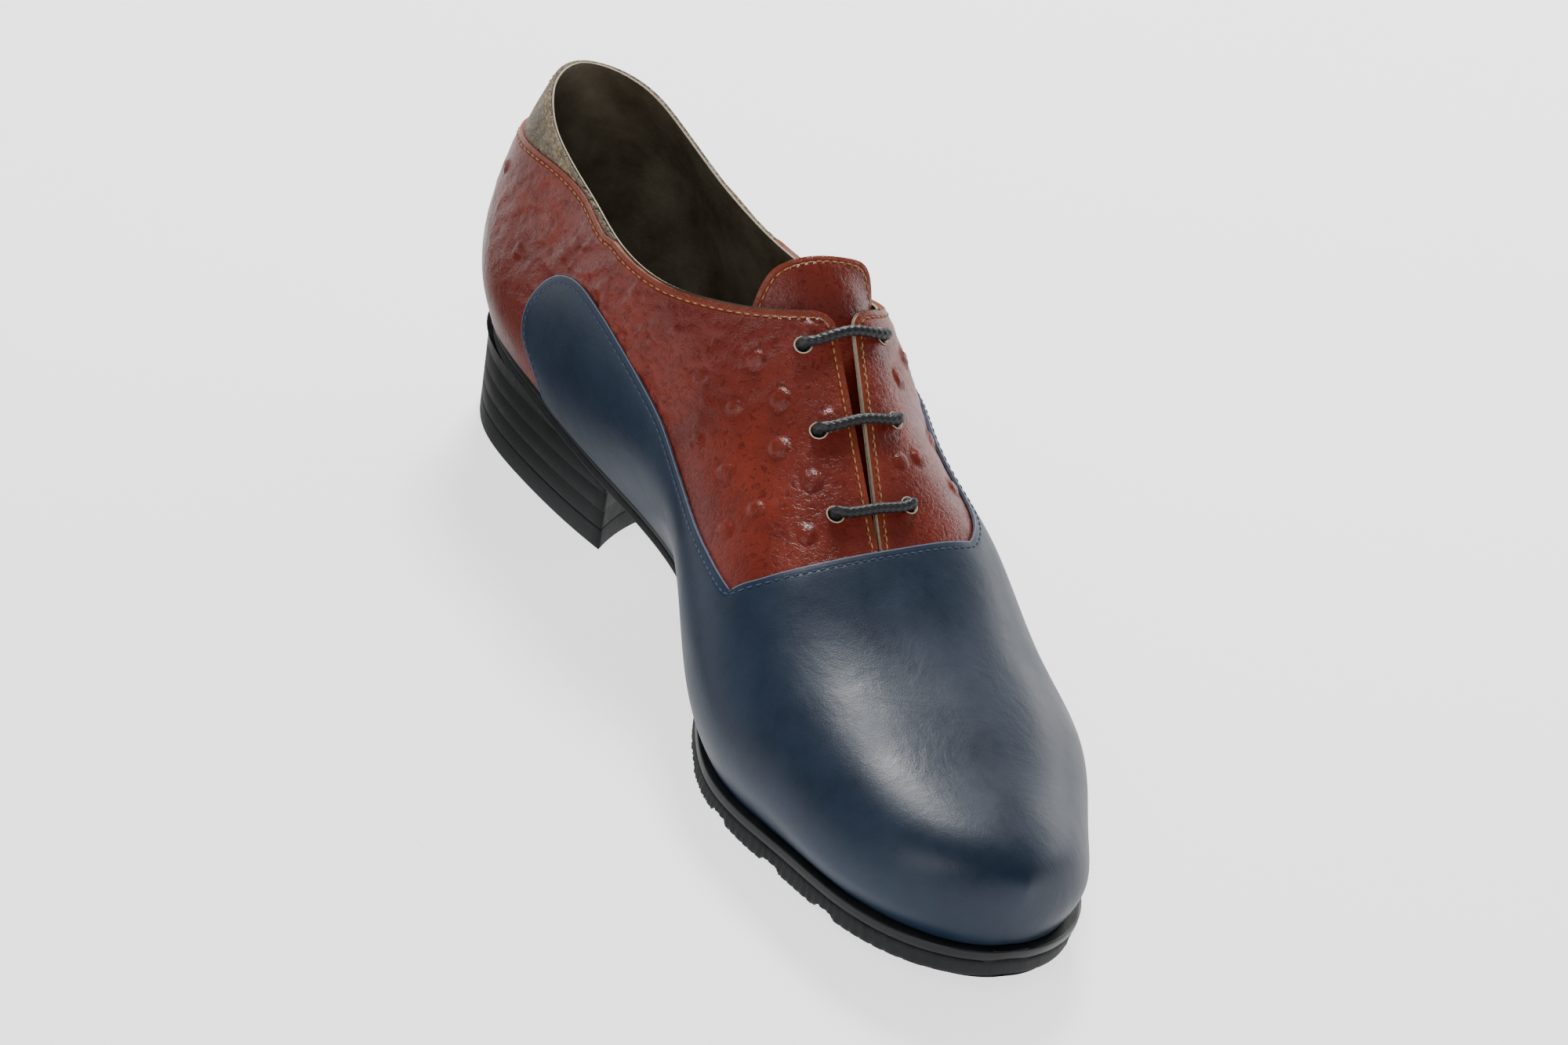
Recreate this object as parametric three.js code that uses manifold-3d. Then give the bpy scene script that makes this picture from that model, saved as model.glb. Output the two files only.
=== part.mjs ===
// Left spectator shoe with wings, three-bar lacing and a block heel, in millimetres.
// +X runs from heel to toe, +Y to the outer side of the foot, +Z up, and the floor is z = 0.
import * as THREE from "three";
import { mergeVertices } from "three/addons/utils/BufferGeometryUtils.js";
import Module from "manifold-3d";

const wasm = await Module();
wasm.setup();

// Driving dimensions
const lastLength = 276;
const ballHalf = 47;
const instepRise = 80;
const collarHeight = 104;
const seatHeight = 34.3;
const soleHeight = 7.3;
const toeSpring = 7.5;
const wall = 2.2;
const overlay = 1.2;
const clearance = 0.3;
const weltWidth = 2.2;
const midsoleThickness = 2.6;
const seatSoleThickness = 2.5;
const insoleThickness = 3;
const topPieceHeight = 6;
const heelInset = 2;
const heelUndercut = 5.5;
const breastMedial = 84;
const breastLateral = 66;
const breastHollow = 3;
const grooveDepth = 1.3;
const grooveWidth = 7;
const groovePitch = 22;
const grooveCount = 4;
const firstGroove = 171;
const laceDiameter = 2.5;
const eyeletDiameter = 3.6;
const eyeletSpread = 11.2;
const eyeletPitch = 20;
const firstEyelet = 128;
const tongueThickness = 1.8;
const tongueTop = 108;
const tongueBottom = 172;
const tongueHalf = 18;
const tongueCorner = 7;
const tongueArch = 8.5;
const tongueRise = -1.2;
const tongueShift = -3;
const throatTop = 116;
const throatBottom = 178;
const throatOpening = 3;
const throatClosing = 0.45;
const throatTopSide = 17;
const throatBottomSide = 7;
const liningLap = 10;

const aloneSteps = 30;
const acrossSteps = 24;

// Cross-sections of the last from heel to toe. Widths and swing are shares of ballHalf,
// heights above the feather edge are shares of instepRise, lift is the share of the heel's
// raise, spring the share of toeSpring, welt the share of weltWidth, and lean the sideways
// shift for each millimetre of height.
const SECTION_COLUMNS = [
  "at", "swing", "lean", "lift", "spring", "welt",
  "footMedial", "bulgeMedial", "bulgeMedialUp", "shoulderMedial", "shoulderMedialUp",
  "crestUp",
  "shoulderLateral", "shoulderLateralUp", "bulgeLateral", "bulgeLateralUp", "footLateral",
];
const SECTIONS = [
  [0.00, 0.13, -0.13, 1.00, 0.00, -0.5, 0.00, 0.00, 0.21, 0.00, 0.58, 0.96, 0.00, 0.58, 0.00, 0.21, 0.00],
  [0.03, 0.13, -0.13, 1.00, 0.00, -0.5, 0.37, 0.42, 0.21, 0.40, 0.58, 1.06, 0.44, 0.58, 0.42, 0.21, 0.36],
  [0.09, 0.13, -0.13, 0.98, 0.00, -0.5, 0.54, 0.63, 0.20, 0.53, 0.57, 1.09, 0.57, 0.60, 0.65, 0.20, 0.51],
  [0.19, 0.14, -0.12, 0.91, 0.00, -0.4, 0.56, 0.66, 0.21, 0.50, 0.61, 1.12, 0.58, 0.63, 0.71, 0.21, 0.57],
  [0.31, 0.19, -0.07, 0.72, 0.00, -0.2, 0.49, 0.64, 0.25, 0.58, 0.67, 1.11, 0.62, 0.65, 0.77, 0.23, 0.57],
  [0.41, 0.28, -0.02, 0.48, 0.00, 0.00, 0.42, 0.67, 0.28, 0.60, 0.67, 1.00, 0.62, 0.74, 0.83, 0.23, 0.60],
  [0.51, 0.30, 0.00, 0.22, 0.00, 0.35, 0.48, 0.79, 0.27, 0.63, 0.61, 0.87, 0.65, 0.61, 0.91, 0.21, 0.66],
  [0.61, 0.23, 0.00, 0.05, 0.00, 0.80, 0.70, 0.92, 0.21, 0.73, 0.52, 0.70, 0.77, 0.54, 0.98, 0.19, 0.81],
  [0.70, 0.13, 0.00, 0.00, 0.00, 1.00, 0.79, 0.95, 0.17, 0.76, 0.41, 0.54, 0.80, 0.44, 1.07, 0.18, 0.93],
  [0.80, 0.02, 0.00, 0.00, 0.14, 1.00, 0.64, 0.82, 0.14, 0.68, 0.33, 0.43, 0.81, 0.36, 1.05, 0.16, 0.92],
  [0.89, -0.05, 0.00, 0.00, 0.44, 1.00, 0.51, 0.68, 0.11, 0.58, 0.27, 0.35, 0.64, 0.28, 0.84, 0.12, 0.79],
  [0.96, -0.05, 0.00, 0.00, 0.75, 1.00, 0.35, 0.47, 0.09, 0.41, 0.22, 0.29, 0.42, 0.22, 0.57, 0.09, 0.51],
  [1.00, -0.02, 0.00, 0.00, 1.00, 1.00, 0.00, 0.00, 0.06, 0.00, 0.11, 0.16, 0.00, 0.11, 0.00, 0.06, 0.00],
];

// Heel profile: height as a share of instepRise, forward lean as a share of lastLength
const BACK = [
  { up: 0.00, lean: 0.010 },
  { up: 0.10, lean: 0.003 },
  { up: 0.25, lean: 0.000 },
  { up: 0.45, lean: 0.005 },
  { up: 0.65, lean: 0.016 },
  { up: 0.85, lean: 0.030 },
];

// Topline seen from the side: place as a share of lastLength, height as a share of collarHeight
const TOPLINE = [
  { at: -0.03, up: 1.000 },
  { at: 0.03, up: 0.998 },
  { at: 0.07, up: 0.968 },
  { at: 0.12, up: 0.908 },
  { at: 0.17, up: 0.866 },
  { at: 0.22, up: 0.842 },
  { at: 0.28, up: 0.822 },
  { at: 0.34, up: 0.820 },
  { at: 0.39, up: 0.845 },
  { at: 0.43, up: 0.880 },
  { at: 0.46, up: 0.930 },
  { at: 0.49, up: 1.060 },
];

// Lower seam of the heel collar, in the same shares as the topline
const COLLAR_SEAM = [
  { at: -0.03, up: 0.828 },
  { at: 0.07, up: 0.838 },
  { at: 0.14, up: 0.853 },
  { at: 0.19, up: 0.848 },
  { at: 0.25, up: 0.800 },
];

// Edge of the wing seen from the side, from the feather edge round its back end to the vamp corner
const WING_MEDIAL = [
  { at: 0.220, up: 0.240 },
  { at: 0.203, up: 0.375 },
  { at: 0.190, up: 0.435 },
  { at: 0.187, up: 0.500 },
  { at: 0.193, up: 0.575 },
  { at: 0.213, up: 0.650 },
  { at: 0.247, up: 0.685 },
  { at: 0.296, up: 0.670 },
  { at: 0.336, up: 0.635 },
  { at: 0.377, up: 0.592 },
  { at: 0.410, up: 0.558 },
  { at: 0.458, up: 0.503 },
  { at: 0.522, up: 0.458 },
  { at: 0.583, up: 0.443 },
  { at: 0.640, up: 0.438 },
];

// The same edge on the outer side, where the instep is fuller and the wing lies higher
const WING_LATERAL = [
  { at: 0.225, up: 0.240 },
  { at: 0.208, up: 0.375 },
  { at: 0.195, up: 0.435 },
  { at: 0.192, up: 0.500 },
  { at: 0.198, up: 0.580 },
  { at: 0.218, up: 0.655 },
  { at: 0.252, up: 0.698 },
  { at: 0.300, up: 0.708 },
  { at: 0.360, up: 0.700 },
  { at: 0.420, up: 0.692 },
  { at: 0.475, up: 0.676 },
  { at: 0.515, up: 0.648 },
  { at: 0.545, up: 0.616 },
  { at: 0.580, up: 0.590 },
  { at: 0.626, up: 0.574 },
  { at: 0.660, up: 0.562 },
];

// Front edge of the throat seen from above: side as a share of ballHalf, place as a share of lastLength
const VAMP_LINE = [
  { side: -1.20, at: 0.610 },
  { side: -0.62, at: 0.626 },
  { side: -0.45, at: 0.647 },
  { side: -0.18, at: 0.655 },
  { side: 0.13, at: 0.649 },
  { side: 0.45, at: 0.645 },
  { side: 0.78, at: 0.628 },
  { side: 1.05, at: 0.610 },
  { side: 1.40, at: 0.590 },
];

// Natural cubic spline through the given places and values
function naturalSpline(places, values) {
  const count = places.length;
  const gap = places.slice(1).map((place, i) => place - places[i]);
  const slope = gap.map((width, i) => (values[i + 1] - values[i]) / width);
  const bend = new Array(count).fill(0);
  const diagonal = new Array(count).fill(1);
  const right = new Array(count).fill(0);
  for (let i = 1; i < count - 1; i++) {
    const factor = i > 1 ? gap[i - 1] / diagonal[i - 1] : 0;
    diagonal[i] = 2 * (gap[i - 1] + gap[i]) - factor * (i > 1 ? gap[i - 1] : 0);
    right[i] = 6 * (slope[i] - slope[i - 1]) - factor * right[i - 1];
  }
  for (let i = count - 2; i > 0; i--) {
    bend[i] = (right[i] - gap[i] * bend[i + 1]) / diagonal[i];
  }
  return (place) => {
    let i = 0;
    while (i < count - 2 && place > places[i + 1]) i += 1;
    const before = places[i + 1] - place;
    const after = place - places[i];
    const width = gap[i];
    const curve = (bend[i] * before ** 3 + bend[i + 1] * after ** 3) / (6 * width);
    const start = (values[i] / width - (bend[i] * width) / 6) * before;
    const end = (values[i + 1] / width - (bend[i + 1] * width) / 6) * after;
    return curve + start + end;
  };
}

// Stations are spaced as on a half circle, so the round ends of heel and toe come out round.
const stationOf = (at) => Math.acos(1 - 2 * THREE.MathUtils.clamp(at, 0, 1)) / Math.PI;
const shareOf = (station) => (1 - Math.cos(Math.PI * station)) / 2;
const stations = SECTIONS.map((row) => stationOf(row[0]));
const along = {};
SECTION_COLUMNS.forEach((name, i) => {
  along[name] = naturalSpline(stations, SECTIONS.map((row) => row[i]));
});
const leanAt = naturalSpline(
  BACK.map((row) => seatHeight + row.up * instepRise),
  BACK.map((row) => row.lean * lastLength),
);

// Lengths at a station
const endFade = (station) => Math.sin((Math.min(1, 6 * Math.min(station, 1 - station)) * Math.PI) / 2);
const middleSide = (station) => along.swing(station) * ballHalf;
function featherHeight(station) {
  const raise = seatHeight - soleHeight;
  return soleHeight + along.lift(station) * raise + along.spring(station) * toeSpring;
}
function backLean(station, z) {
  const fade = THREE.MathUtils.clamp(1 - shareOf(station) / 0.3, 0, 1);
  const lowest = seatHeight;
  const highest = seatHeight + BACK.at(-1).up * instepRise;
  return leanAt(THREE.MathUtils.clamp(z, lowest, highest)) * fade * fade * (3 - 2 * fade);
}

// One cross-section of the last, grown outwards by grow
const ACROSS = [-1, -0.8, -0.5, 0, 0.5, 0.8, 1];
function crossSection(station, grow) {
  const fade = endFade(station);
  const slant = grow * Math.SQRT1_2;
  const floor = featherHeight(station);
  const half = (name, extra) => Math.max(0, along[name](station) * ballHalf + extra * fade);
  const up = (name) => floor + along[name](station) * instepRise;
  const sides = [
    -half("footMedial", grow),
    -half("bulgeMedial", grow),
    -half("shoulderMedial", slant),
    0,
    half("shoulderLateral", slant),
    half("bulgeLateral", grow),
    half("footLateral", grow),
  ];
  const heights = [
    floor,
    up("bulgeMedialUp"),
    up("shoulderMedialUp") + slant,
    up("crestUp") + grow,
    up("shoulderLateralUp") + slant,
    up("bulgeLateralUp"),
    floor,
  ];
  const sideAt = naturalSpline(ACROSS, sides);
  const heightAt = naturalSpline(ACROSS, heights);
  return (across) => {
    const height = heightAt(across);
    const lean = along.lean(station) * (height - floor);
    return { side: sideAt(across) + middleSide(station) + lean, height };
  };
}
function placeAlong(station, grow) {
  return -grow + shareOf(station) * (lastLength + 2 * grow);
}

// Mesh from rings of equal length, each joined to the next
function ringSolid(rings, capped) {
  const count = rings[0].length;
  const positions = rings.flat(2);
  const faces = [];
  for (let i = 0; i < rings.length - 1; i++) {
    for (let j = 0; j < count; j++) {
      const next = (j + 1) % count;
      const corners = [i * count + j, i * count + next, (i + 1) * count + next, (i + 1) * count + j];
      faces.push(corners[0], corners[1], corners[2], corners[0], corners[2], corners[3]);
    }
  }
  if (capped) {
    const last = (rings.length - 1) * count;
    const flat = (ring) => ring.map(([x, y]) => new THREE.Vector2(x, y));
    for (const [a, b, c] of THREE.ShapeUtils.triangulateShape(flat(rings[0]), [])) faces.push(a, c, b);
    for (const [a, b, c] of THREE.ShapeUtils.triangulateShape(flat(rings.at(-1)), [])) {
      faces.push(last + a, last + b, last + c);
    }
  }
  const geometry = new THREE.BufferGeometry();
  geometry.setAttribute("position", new THREE.Float32BufferAttribute(positions, 3));
  geometry.setIndex(faces);
  return toSolid(geometry);
}

// Closed mesh to a solid, turned right side out
function toSolid(geometry) {
  const plain = geometry.clone();
  plain.deleteAttribute("normal");
  plain.deleteAttribute("uv");
  const merged = mergeVertices(plain, 1e-4);
  const index = merged.index.array;
  const kept = [];
  for (let i = 0; i < index.length; i += 3) {
    const [a, b, c] = [index[i], index[i + 1], index[i + 2]];
    if (a !== b && b !== c && c !== a) kept.push(a, b, c);
  }
  const vertProperties = new Float32Array(merged.attributes.position.array);
  const build = (triVerts) => new wasm.Manifold(new wasm.Mesh({ numProp: 3, vertProperties, triVerts }));
  const solid = build(new Uint32Array(kept));
  return solid.volume() > 0 ? solid : build(new Uint32Array(kept).reverse());
}

function toGeometry(solid) {
  const mesh = solid.getMesh();
  const geometry = new THREE.BufferGeometry();
  geometry.setAttribute("position", new THREE.Float32BufferAttribute(mesh.vertProperties, mesh.numProp));
  geometry.setIndex(Array.from(mesh.triVerts));
  geometry.computeVertexNormals();
  return geometry;
}

// The last's form grown by grow, with its sides carried down by drop below the feather edge
function form(grow, drop = 0) {
  const rings = [];
  for (let i = 0; i <= aloneSteps; i++) {
    const station = i / aloneSteps;
    const growth = typeof grow === "function" ? grow(station) : grow;
    const section = crossSection(station, growth);
    const place = placeAlong(station, growth);
    const ring = [];
    for (let j = 0; j <= acrossSteps; j++) {
      const { side, height } = section((2 * j) / acrossSteps - 1);
      ring.push([place + backLean(station, height), side, height]);
    }
    if (drop > 0) {
      const [first, last] = [ring[0], ring.at(-1)];
      ring.unshift([first[0], first[1], first[2] - drop]);
      ring.push([last[0], last[1], last[2] - drop]);
    }
    rings.push(ring);
  }
  return ringSolid(rings, false);
}

// A layer under or in the shoe: its outline follows the feather edge, moved out by grow(station)
function layer(grow, topOf, bottomOf) {
  const rings = [];
  for (let i = 0; i <= aloneSteps; i++) {
    const station = i / aloneSteps;
    const growth = grow(station);
    const outward = growth * endFade(station);
    const place = placeAlong(station, growth) + backLean(station, seatHeight);
    const medial = middleSide(station) - Math.max(0, along.footMedial(station) * ballHalf + outward);
    const lateral = middleSide(station) + Math.max(0, along.footLateral(station) * ballHalf + outward);
    const [top, bottom] = [topOf(station), bottomOf(station)];
    rings.push([
      [place, medial, bottom],
      [place, medial, top],
      [place, lateral, top],
      [place, lateral, bottom],
    ]);
  }
  return ringSolid(rings, false);
}

// Prism of an outline seen from the side, between two sides of the shoe
function sidePrism(points, from, to) {
  const shape = new THREE.Shape(points.map(([x, z]) => new THREE.Vector2(x, z)));
  const geometry = new THREE.ExtrudeGeometry(shape, { depth: to - from, bevelEnabled: false });
  geometry.rotateX(Math.PI / 2);
  geometry.translate(0, to, 0);
  return toSolid(geometry);
}

// Prism of an outline seen from above, between two heights
function planPrism(points, from, to) {
  const shape = new THREE.Shape(points.map(([x, y]) => new THREE.Vector2(x, y)));
  const geometry = new THREE.ExtrudeGeometry(shape, { depth: to - from, bevelEnabled: false });
  geometry.translate(0, 0, from);
  return toSolid(geometry);
}

function sampledCurve(rows, across, up, steps) {
  const points = rows.map((row) => new THREE.Vector3(across(row), up(row), 0));
  const curve = new THREE.CatmullRomCurve3(points, false, "centripetal");
  return curve.getPoints(steps).map((point) => [point.x, point.y]);
}
const sideCurve = (rows, steps) =>
  sampledCurve(rows, (row) => row.at * lastLength, (row) => row.up * collarHeight, steps);

const farSide = 120;
const farUp = 180;

// Heights of the layers under the last
const midsoleTop = (station) => featherHeight(station) - clearance;
const midsoleBottom = (station) => midsoleTop(station) - midsoleThickness;
const outsoleTop = (station) => midsoleBottom(station) - clearance;
function outsoleBottom(station) {
  const raised = THREE.MathUtils.clamp(along.lift(station) * 3, 0, 1);
  const treadThickness = soleHeight - midsoleThickness - 2 * clearance;
  const thickness = THREE.MathUtils.lerp(treadThickness + 0.5, seatSoleThickness, raised);
  return Math.max(0, outsoleTop(station) - thickness);
}
function weltOut(station) {
  const welt = along.welt(station);
  return welt * weltWidth + THREE.MathUtils.clamp(welt, 0, 1) * (overlay + clearance);
}

function makeMidsole() {
  return layer(weltOut, midsoleTop, midsoleBottom);
}

// The tread has shallow grooves across the forepart.
function makeOutsole() {
  let sole = layer((station) => weltOut(station) - 0.4, outsoleTop, outsoleBottom);
  for (let i = 0; i < grooveCount; i++) {
    const groove = new THREE.BoxGeometry(grooveWidth, 2 * farSide, 2 * grooveDepth);
    groove.rotateZ(0.25);
    groove.translate(firstGroove + i * groovePitch, 0, 0);
    sole = sole.subtract(toSolid(groove));
  }
  return sole;
}

function makeInsole() {
  const inward = () => -(wall + clearance);
  return layer(inward, (station) => featherHeight(station) + insoleThickness, featherHeight);
}

// Heel outline at a level: 0 at the seat, 1 at the floor
function heelOutline(level) {
  const steps = 9;
  const edge = (station, side) => {
    const name = side < 0 ? "footMedial" : "footLateral";
    const inset = heelInset + level * (side < 0 ? heelUndercut : heelUndercut / 2);
    const half = Math.max(0, along[name](station) * ballHalf - inset * endFade(station));
    return [placeAlong(station, heelInset / 2), middleSide(station) + side * half];
  };
  const medialEnd = stationOf(breastMedial / lastLength);
  const lateralEnd = stationOf(breastLateral / lastLength);
  const outline = [];
  for (let i = 0; i < steps; i++) outline.push(edge(medialEnd * (1 - i / steps), -1));
  for (let i = 0; i <= steps; i++) outline.push(edge((lateralEnd * i) / steps, 1));
  const [start, end] = [outline.at(-1), outline[0]];
  for (const t of [0.25, 0.5, 0.75]) {
    const hollow = breastHollow * 4 * t * (1 - t);
    outline.push([
      THREE.MathUtils.lerp(start[0], end[0], t) - hollow,
      THREE.MathUtils.lerp(start[1], end[1], t) - 0.3 * hollow,
    ]);
  }
  return outline.reverse();
}
function heelLoft(bottom, top) {
  const levels = 4;
  const rings = [];
  for (let i = 0; i <= levels; i++) {
    const z = THREE.MathUtils.lerp(bottom, top, i / levels);
    const level = THREE.MathUtils.clamp(1 - z / seatHeight, 0, 1);
    rings.push(heelOutline(level).map(([x, y]) => [x, y, z]));
  }
  return ringSolid(rings, true);
}
function makeHeelBlock() {
  const above = layer(() => 12, () => farUp, (station) => outsoleBottom(station) - clearance);
  return heelLoft(topPieceHeight + clearance, seatHeight).subtract(above);
}
function makeTopPiece() {
  return heelLoft(0, topPieceHeight);
}

// Throat slit between the facings, widening towards the top
function throatSide(x) {
  const t = (x - throatTop) / (throatBottom - throatTop);
  return THREE.MathUtils.lerp(throatTopSide, throatBottomSide, t);
}
function throatCutter() {
  return planPrism([
    [throatTop, throatTopSide - throatOpening],
    [throatBottom, throatBottomSide - throatClosing],
    [throatBottom, throatBottomSide + throatClosing],
    [throatTop, throatTopSide + throatOpening],
  ], collarHeight / 2, farUp);
}

// Point of the upper's outer face above a place in plan, with the outward direction there
function faceAbove(x, y) {
  const station = stationOf(x / lastLength);
  const section = crossSection(station, 0);
  let [low, high] = [-0.6, 0.6];
  for (let i = 0; i < 40; i++) {
    const middle = (low + high) / 2;
    if (section(middle).side < y) low = middle;
    else high = middle;
  }
  return new THREE.Vector3(x, y, section(low).height);
}
function facingFrame(x, y) {
  const step = 1;
  const here = faceAbove(x, y);
  const forward = faceAbove(x + step, y).sub(here);
  const sideways = faceAbove(x, y + step).sub(here);
  return { point: here, out: forward.cross(sideways).normalize() };
}
function eyelets() {
  const frames = [];
  for (let i = 0; i < 3; i++) {
    const x = firstEyelet + i * eyeletPitch;
    const spread = eyeletSpread - 0.4 * i;
    for (const side of [-1, 1]) frames.push(facingFrame(x, throatSide(x) + side * spread));
  }
  return frames;
}
function eyeletCutters() {
  return eyelets().map(({ point, out }) => {
    const hole = new THREE.CylinderGeometry(eyeletDiameter / 2, eyeletDiameter / 2, 4 * wall, 12);
    const turn = new THREE.Quaternion().setFromUnitVectors(new THREE.Vector3(0, 1, 0), out);
    hole.applyQuaternion(turn);
    hole.translate(point.x, point.y, point.z);
    return toSolid(hole);
  });
}

// The upper's hollow wall above the topline is cut away, and the heel collar is parted from it.
const toplinePoints = sideCurve(TOPLINE, 36);
function aboveTopline() {
  return sidePrism([...toplinePoints, [lastLength / 2, farUp], [-farSide, farUp]], -farSide, farSide);
}
function collarRegion(lower) {
  const seam = sideCurve(COLLAR_SEAM, 16).map(([x, z]) => [x, z - lower]);
  return sidePrism([...seam, [seam.at(-1)[0], farUp], [seam[0][0], farUp]], -farSide, farSide);
}
function upperWall() {
  return form(0).subtract(form(-wall, 30)).subtract(aboveTopline());
}
function makeUpper(shell) {
  let upper = shell.subtract(collarRegion(clearance)).subtract(throatCutter());
  upper = upper.subtract(forepart(liningLap));
  for (const hole of eyeletCutters()) upper = upper.subtract(hole);
  return upper;
}
function makeHeelCollar(shell) {
  return shell.intersect(collarRegion(0));
}

// The toe's inner wall under the vamp, parted from the quarters in front of the throat line
function makeVampLining(shell) {
  return shell.intersect(forepart(liningLap + clearance));
}

// Vamp with its two wings, lying over the upper
function wingPrism(side) {
  const edge = sideCurve(side < 0 ? WING_MEDIAL : WING_LATERAL, 40);
  const below = [[lastLength, edge.at(-1)[1]], [lastLength, -10], [edge[0][0], -10]];
  const middle = ballHalf * 0.2;
  return sidePrism([...edge, ...below], side < 0 ? -farSide : middle, side < 0 ? middle : farSide);
}
function forepart(forward) {
  const line = sampledCurve(VAMP_LINE, (row) => row.side * ballHalf, (row) => row.at * lastLength, 24);
  const points = line.map(([y, x]) => [x + forward, y]);
  return planPrism([...points, [1.2 * lastLength, farSide], [1.2 * lastLength, -farSide]], -10, farUp);
}
function makeVamp() {
  const shell = form(clearance + overlay).subtract(form(clearance, 30));
  return shell.intersect(wingPrism(-1).add(wingPrism(1)).add(forepart(0)));
}

// Tongue under the facings, standing above them at its rounded top
function makeTongue() {
  const [rows, columns] = [20, 10];
  const innerHalf = tongueHalf - tongueCorner;
  const middle = (x) => throatSide(x) + tongueShift;
  const outer = (x, y) => {
    const { point, out } = facingFrame(x, y);
    const outward = ((y - middle(x)) / tongueHalf) ** 2;
    const free = 1 - THREE.MathUtils.smoothstep(x, tongueTop - 10 * outward, tongueTop + 10 - 12 * outward);
    const laceRoom = (laceDiameter + clearance) * THREE.MathUtils.smoothstep(x, firstEyelet - 14, firstEyelet - 5);
    const depth = wall + 3 * clearance + laceRoom;
    const crest = faceAbove(x, throatSide(x)).z + tongueRise;
    return THREE.MathUtils.lerp(point.z - depth / out.z, crest - tongueArch * outward, free);
  };
  const rings = [];
  for (let i = 0; i <= rows; i++) {
    const x = THREE.MathUtils.lerp(tongueTop, tongueBottom, (i / rows) ** 1.5);
    const round = Math.max(0, 1 - (x - tongueTop) / tongueCorner);
    const half = innerHalf + tongueCorner * Math.sqrt(1 - round * round);
    const thickness = i === 0 || i === rows ? 0 : tongueThickness;
    const upperFace = [];
    for (let j = 0; j <= columns; j++) {
      const y = middle(x) + half * ((2 * j) / columns - 1);
      upperFace.push([x, y, outer(x, y) - (tongueThickness - thickness) / 2]);
    }
    const lowerFace = upperFace.map(([px, py, pz]) => [px, py, pz - thickness]);
    rings.push([...upperFace, ...lowerFace.reverse()]);
  }
  return ringSolid(rings, false);
}

// Lace: three bars over the facings, joined by two runs under them
function makeLace() {
  const holes = eyelets();
  const radius = laceDiameter / 2;
  const over = radius + clearance + 0.1;
  const under = -(wall + clearance + radius);
  const at = (i, lift) => holes[i].point.clone().addScaledVector(holes[i].out, lift);
  const order = [[4, 5], [3, 2], [0, 1]];
  const points = [];
  order.forEach(([from, to], row) => {
    if (row > 0) {
      const middle = holes[from].point.clone().lerp(holes[order[row - 1][1]].point, 0.5);
      const run = facingFrame(middle.x, middle.y);
      points.push(run.point.addScaledVector(run.out, under));
    }
    const [start, end] = [at(from, over), at(to, over)];
    points.push(at(from, under), at(from, -wall / 2), at(from, over - 0.2));
    for (const t of [0.14, 0.5, 0.86]) {
      const point = start.clone().lerp(end, t);
      const arch = facingFrame(point.x, point.y);
      points.push(arch.point.addScaledVector(arch.out, over));
    }
    points.push(at(to, over - 0.2), at(to, -wall / 2), at(to, under));
  });
  const curve = new THREE.CatmullRomCurve3(points, false, "centripetal");
  const section = new THREE.Shape();
  section.absarc(0, 0, radius, 0, 2 * Math.PI, false);
  const options = { steps: 90, curveSegments: 4, bevelEnabled: false, extrudePath: curve };
  return toSolid(new THREE.ExtrudeGeometry(section, options));
}

const shell = upperWall();
const pieces = [
  { name: "top_piece", solid: makeTopPiece(), color: 0x1b1c1d, roughness: 0.7 },
  { name: "heel_block", solid: makeHeelBlock(), color: 0x222325, roughness: 0.6 },
  { name: "outsole", solid: makeOutsole(), color: 0x1f2021, roughness: 0.75 },
  { name: "midsole", solid: makeMidsole(), color: 0x121314, roughness: 0.4 },
  { name: "insole", solid: makeInsole(), color: 0x6d5f4b, roughness: 0.7 },
  { name: "upper", solid: makeUpper(shell), color: 0x6e221a, roughness: 0.38 },
  { name: "vamp_lining", solid: makeVampLining(shell), color: 0x5b4a3a, roughness: 0.7 },
  { name: "vamp", solid: makeVamp(), color: 0x18243a, roughness: 0.35 },
  { name: "heel_collar", solid: makeHeelCollar(shell), color: 0x5b4a3a, roughness: 0.6 },
  { name: "tongue", solid: makeTongue(), color: 0x6e221a, roughness: 0.4 },
  { name: "lace", solid: makeLace(), color: 0x0c0c0d, roughness: 0.5 },
];

const shoe = new THREE.Group();
shoe.name = "spectator_shoe";
for (const { name, solid, color, roughness } of pieces) {
  const material = new THREE.MeshStandardMaterial({ color, roughness, metalness: 0 });
  const mesh = new THREE.Mesh(toGeometry(solid), material);
  mesh.name = name;
  shoe.add(mesh);
}

// The origin is below the middle of the shoe's box, on the floor.
const box = new THREE.Box3().setFromObject(shoe);
const middle = box.getCenter(new THREE.Vector3());
shoe.children.forEach((mesh) => mesh.geometry.translate(-middle.x, -middle.y, -box.min.z));

export default shoe;
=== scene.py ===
import math

import bmesh
import bpy
import numpy as np
from mathutils import Matrix, Vector, noise
from mathutils.bvhtree import BVHTree
from mathutils.kdtree import KDTree


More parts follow.
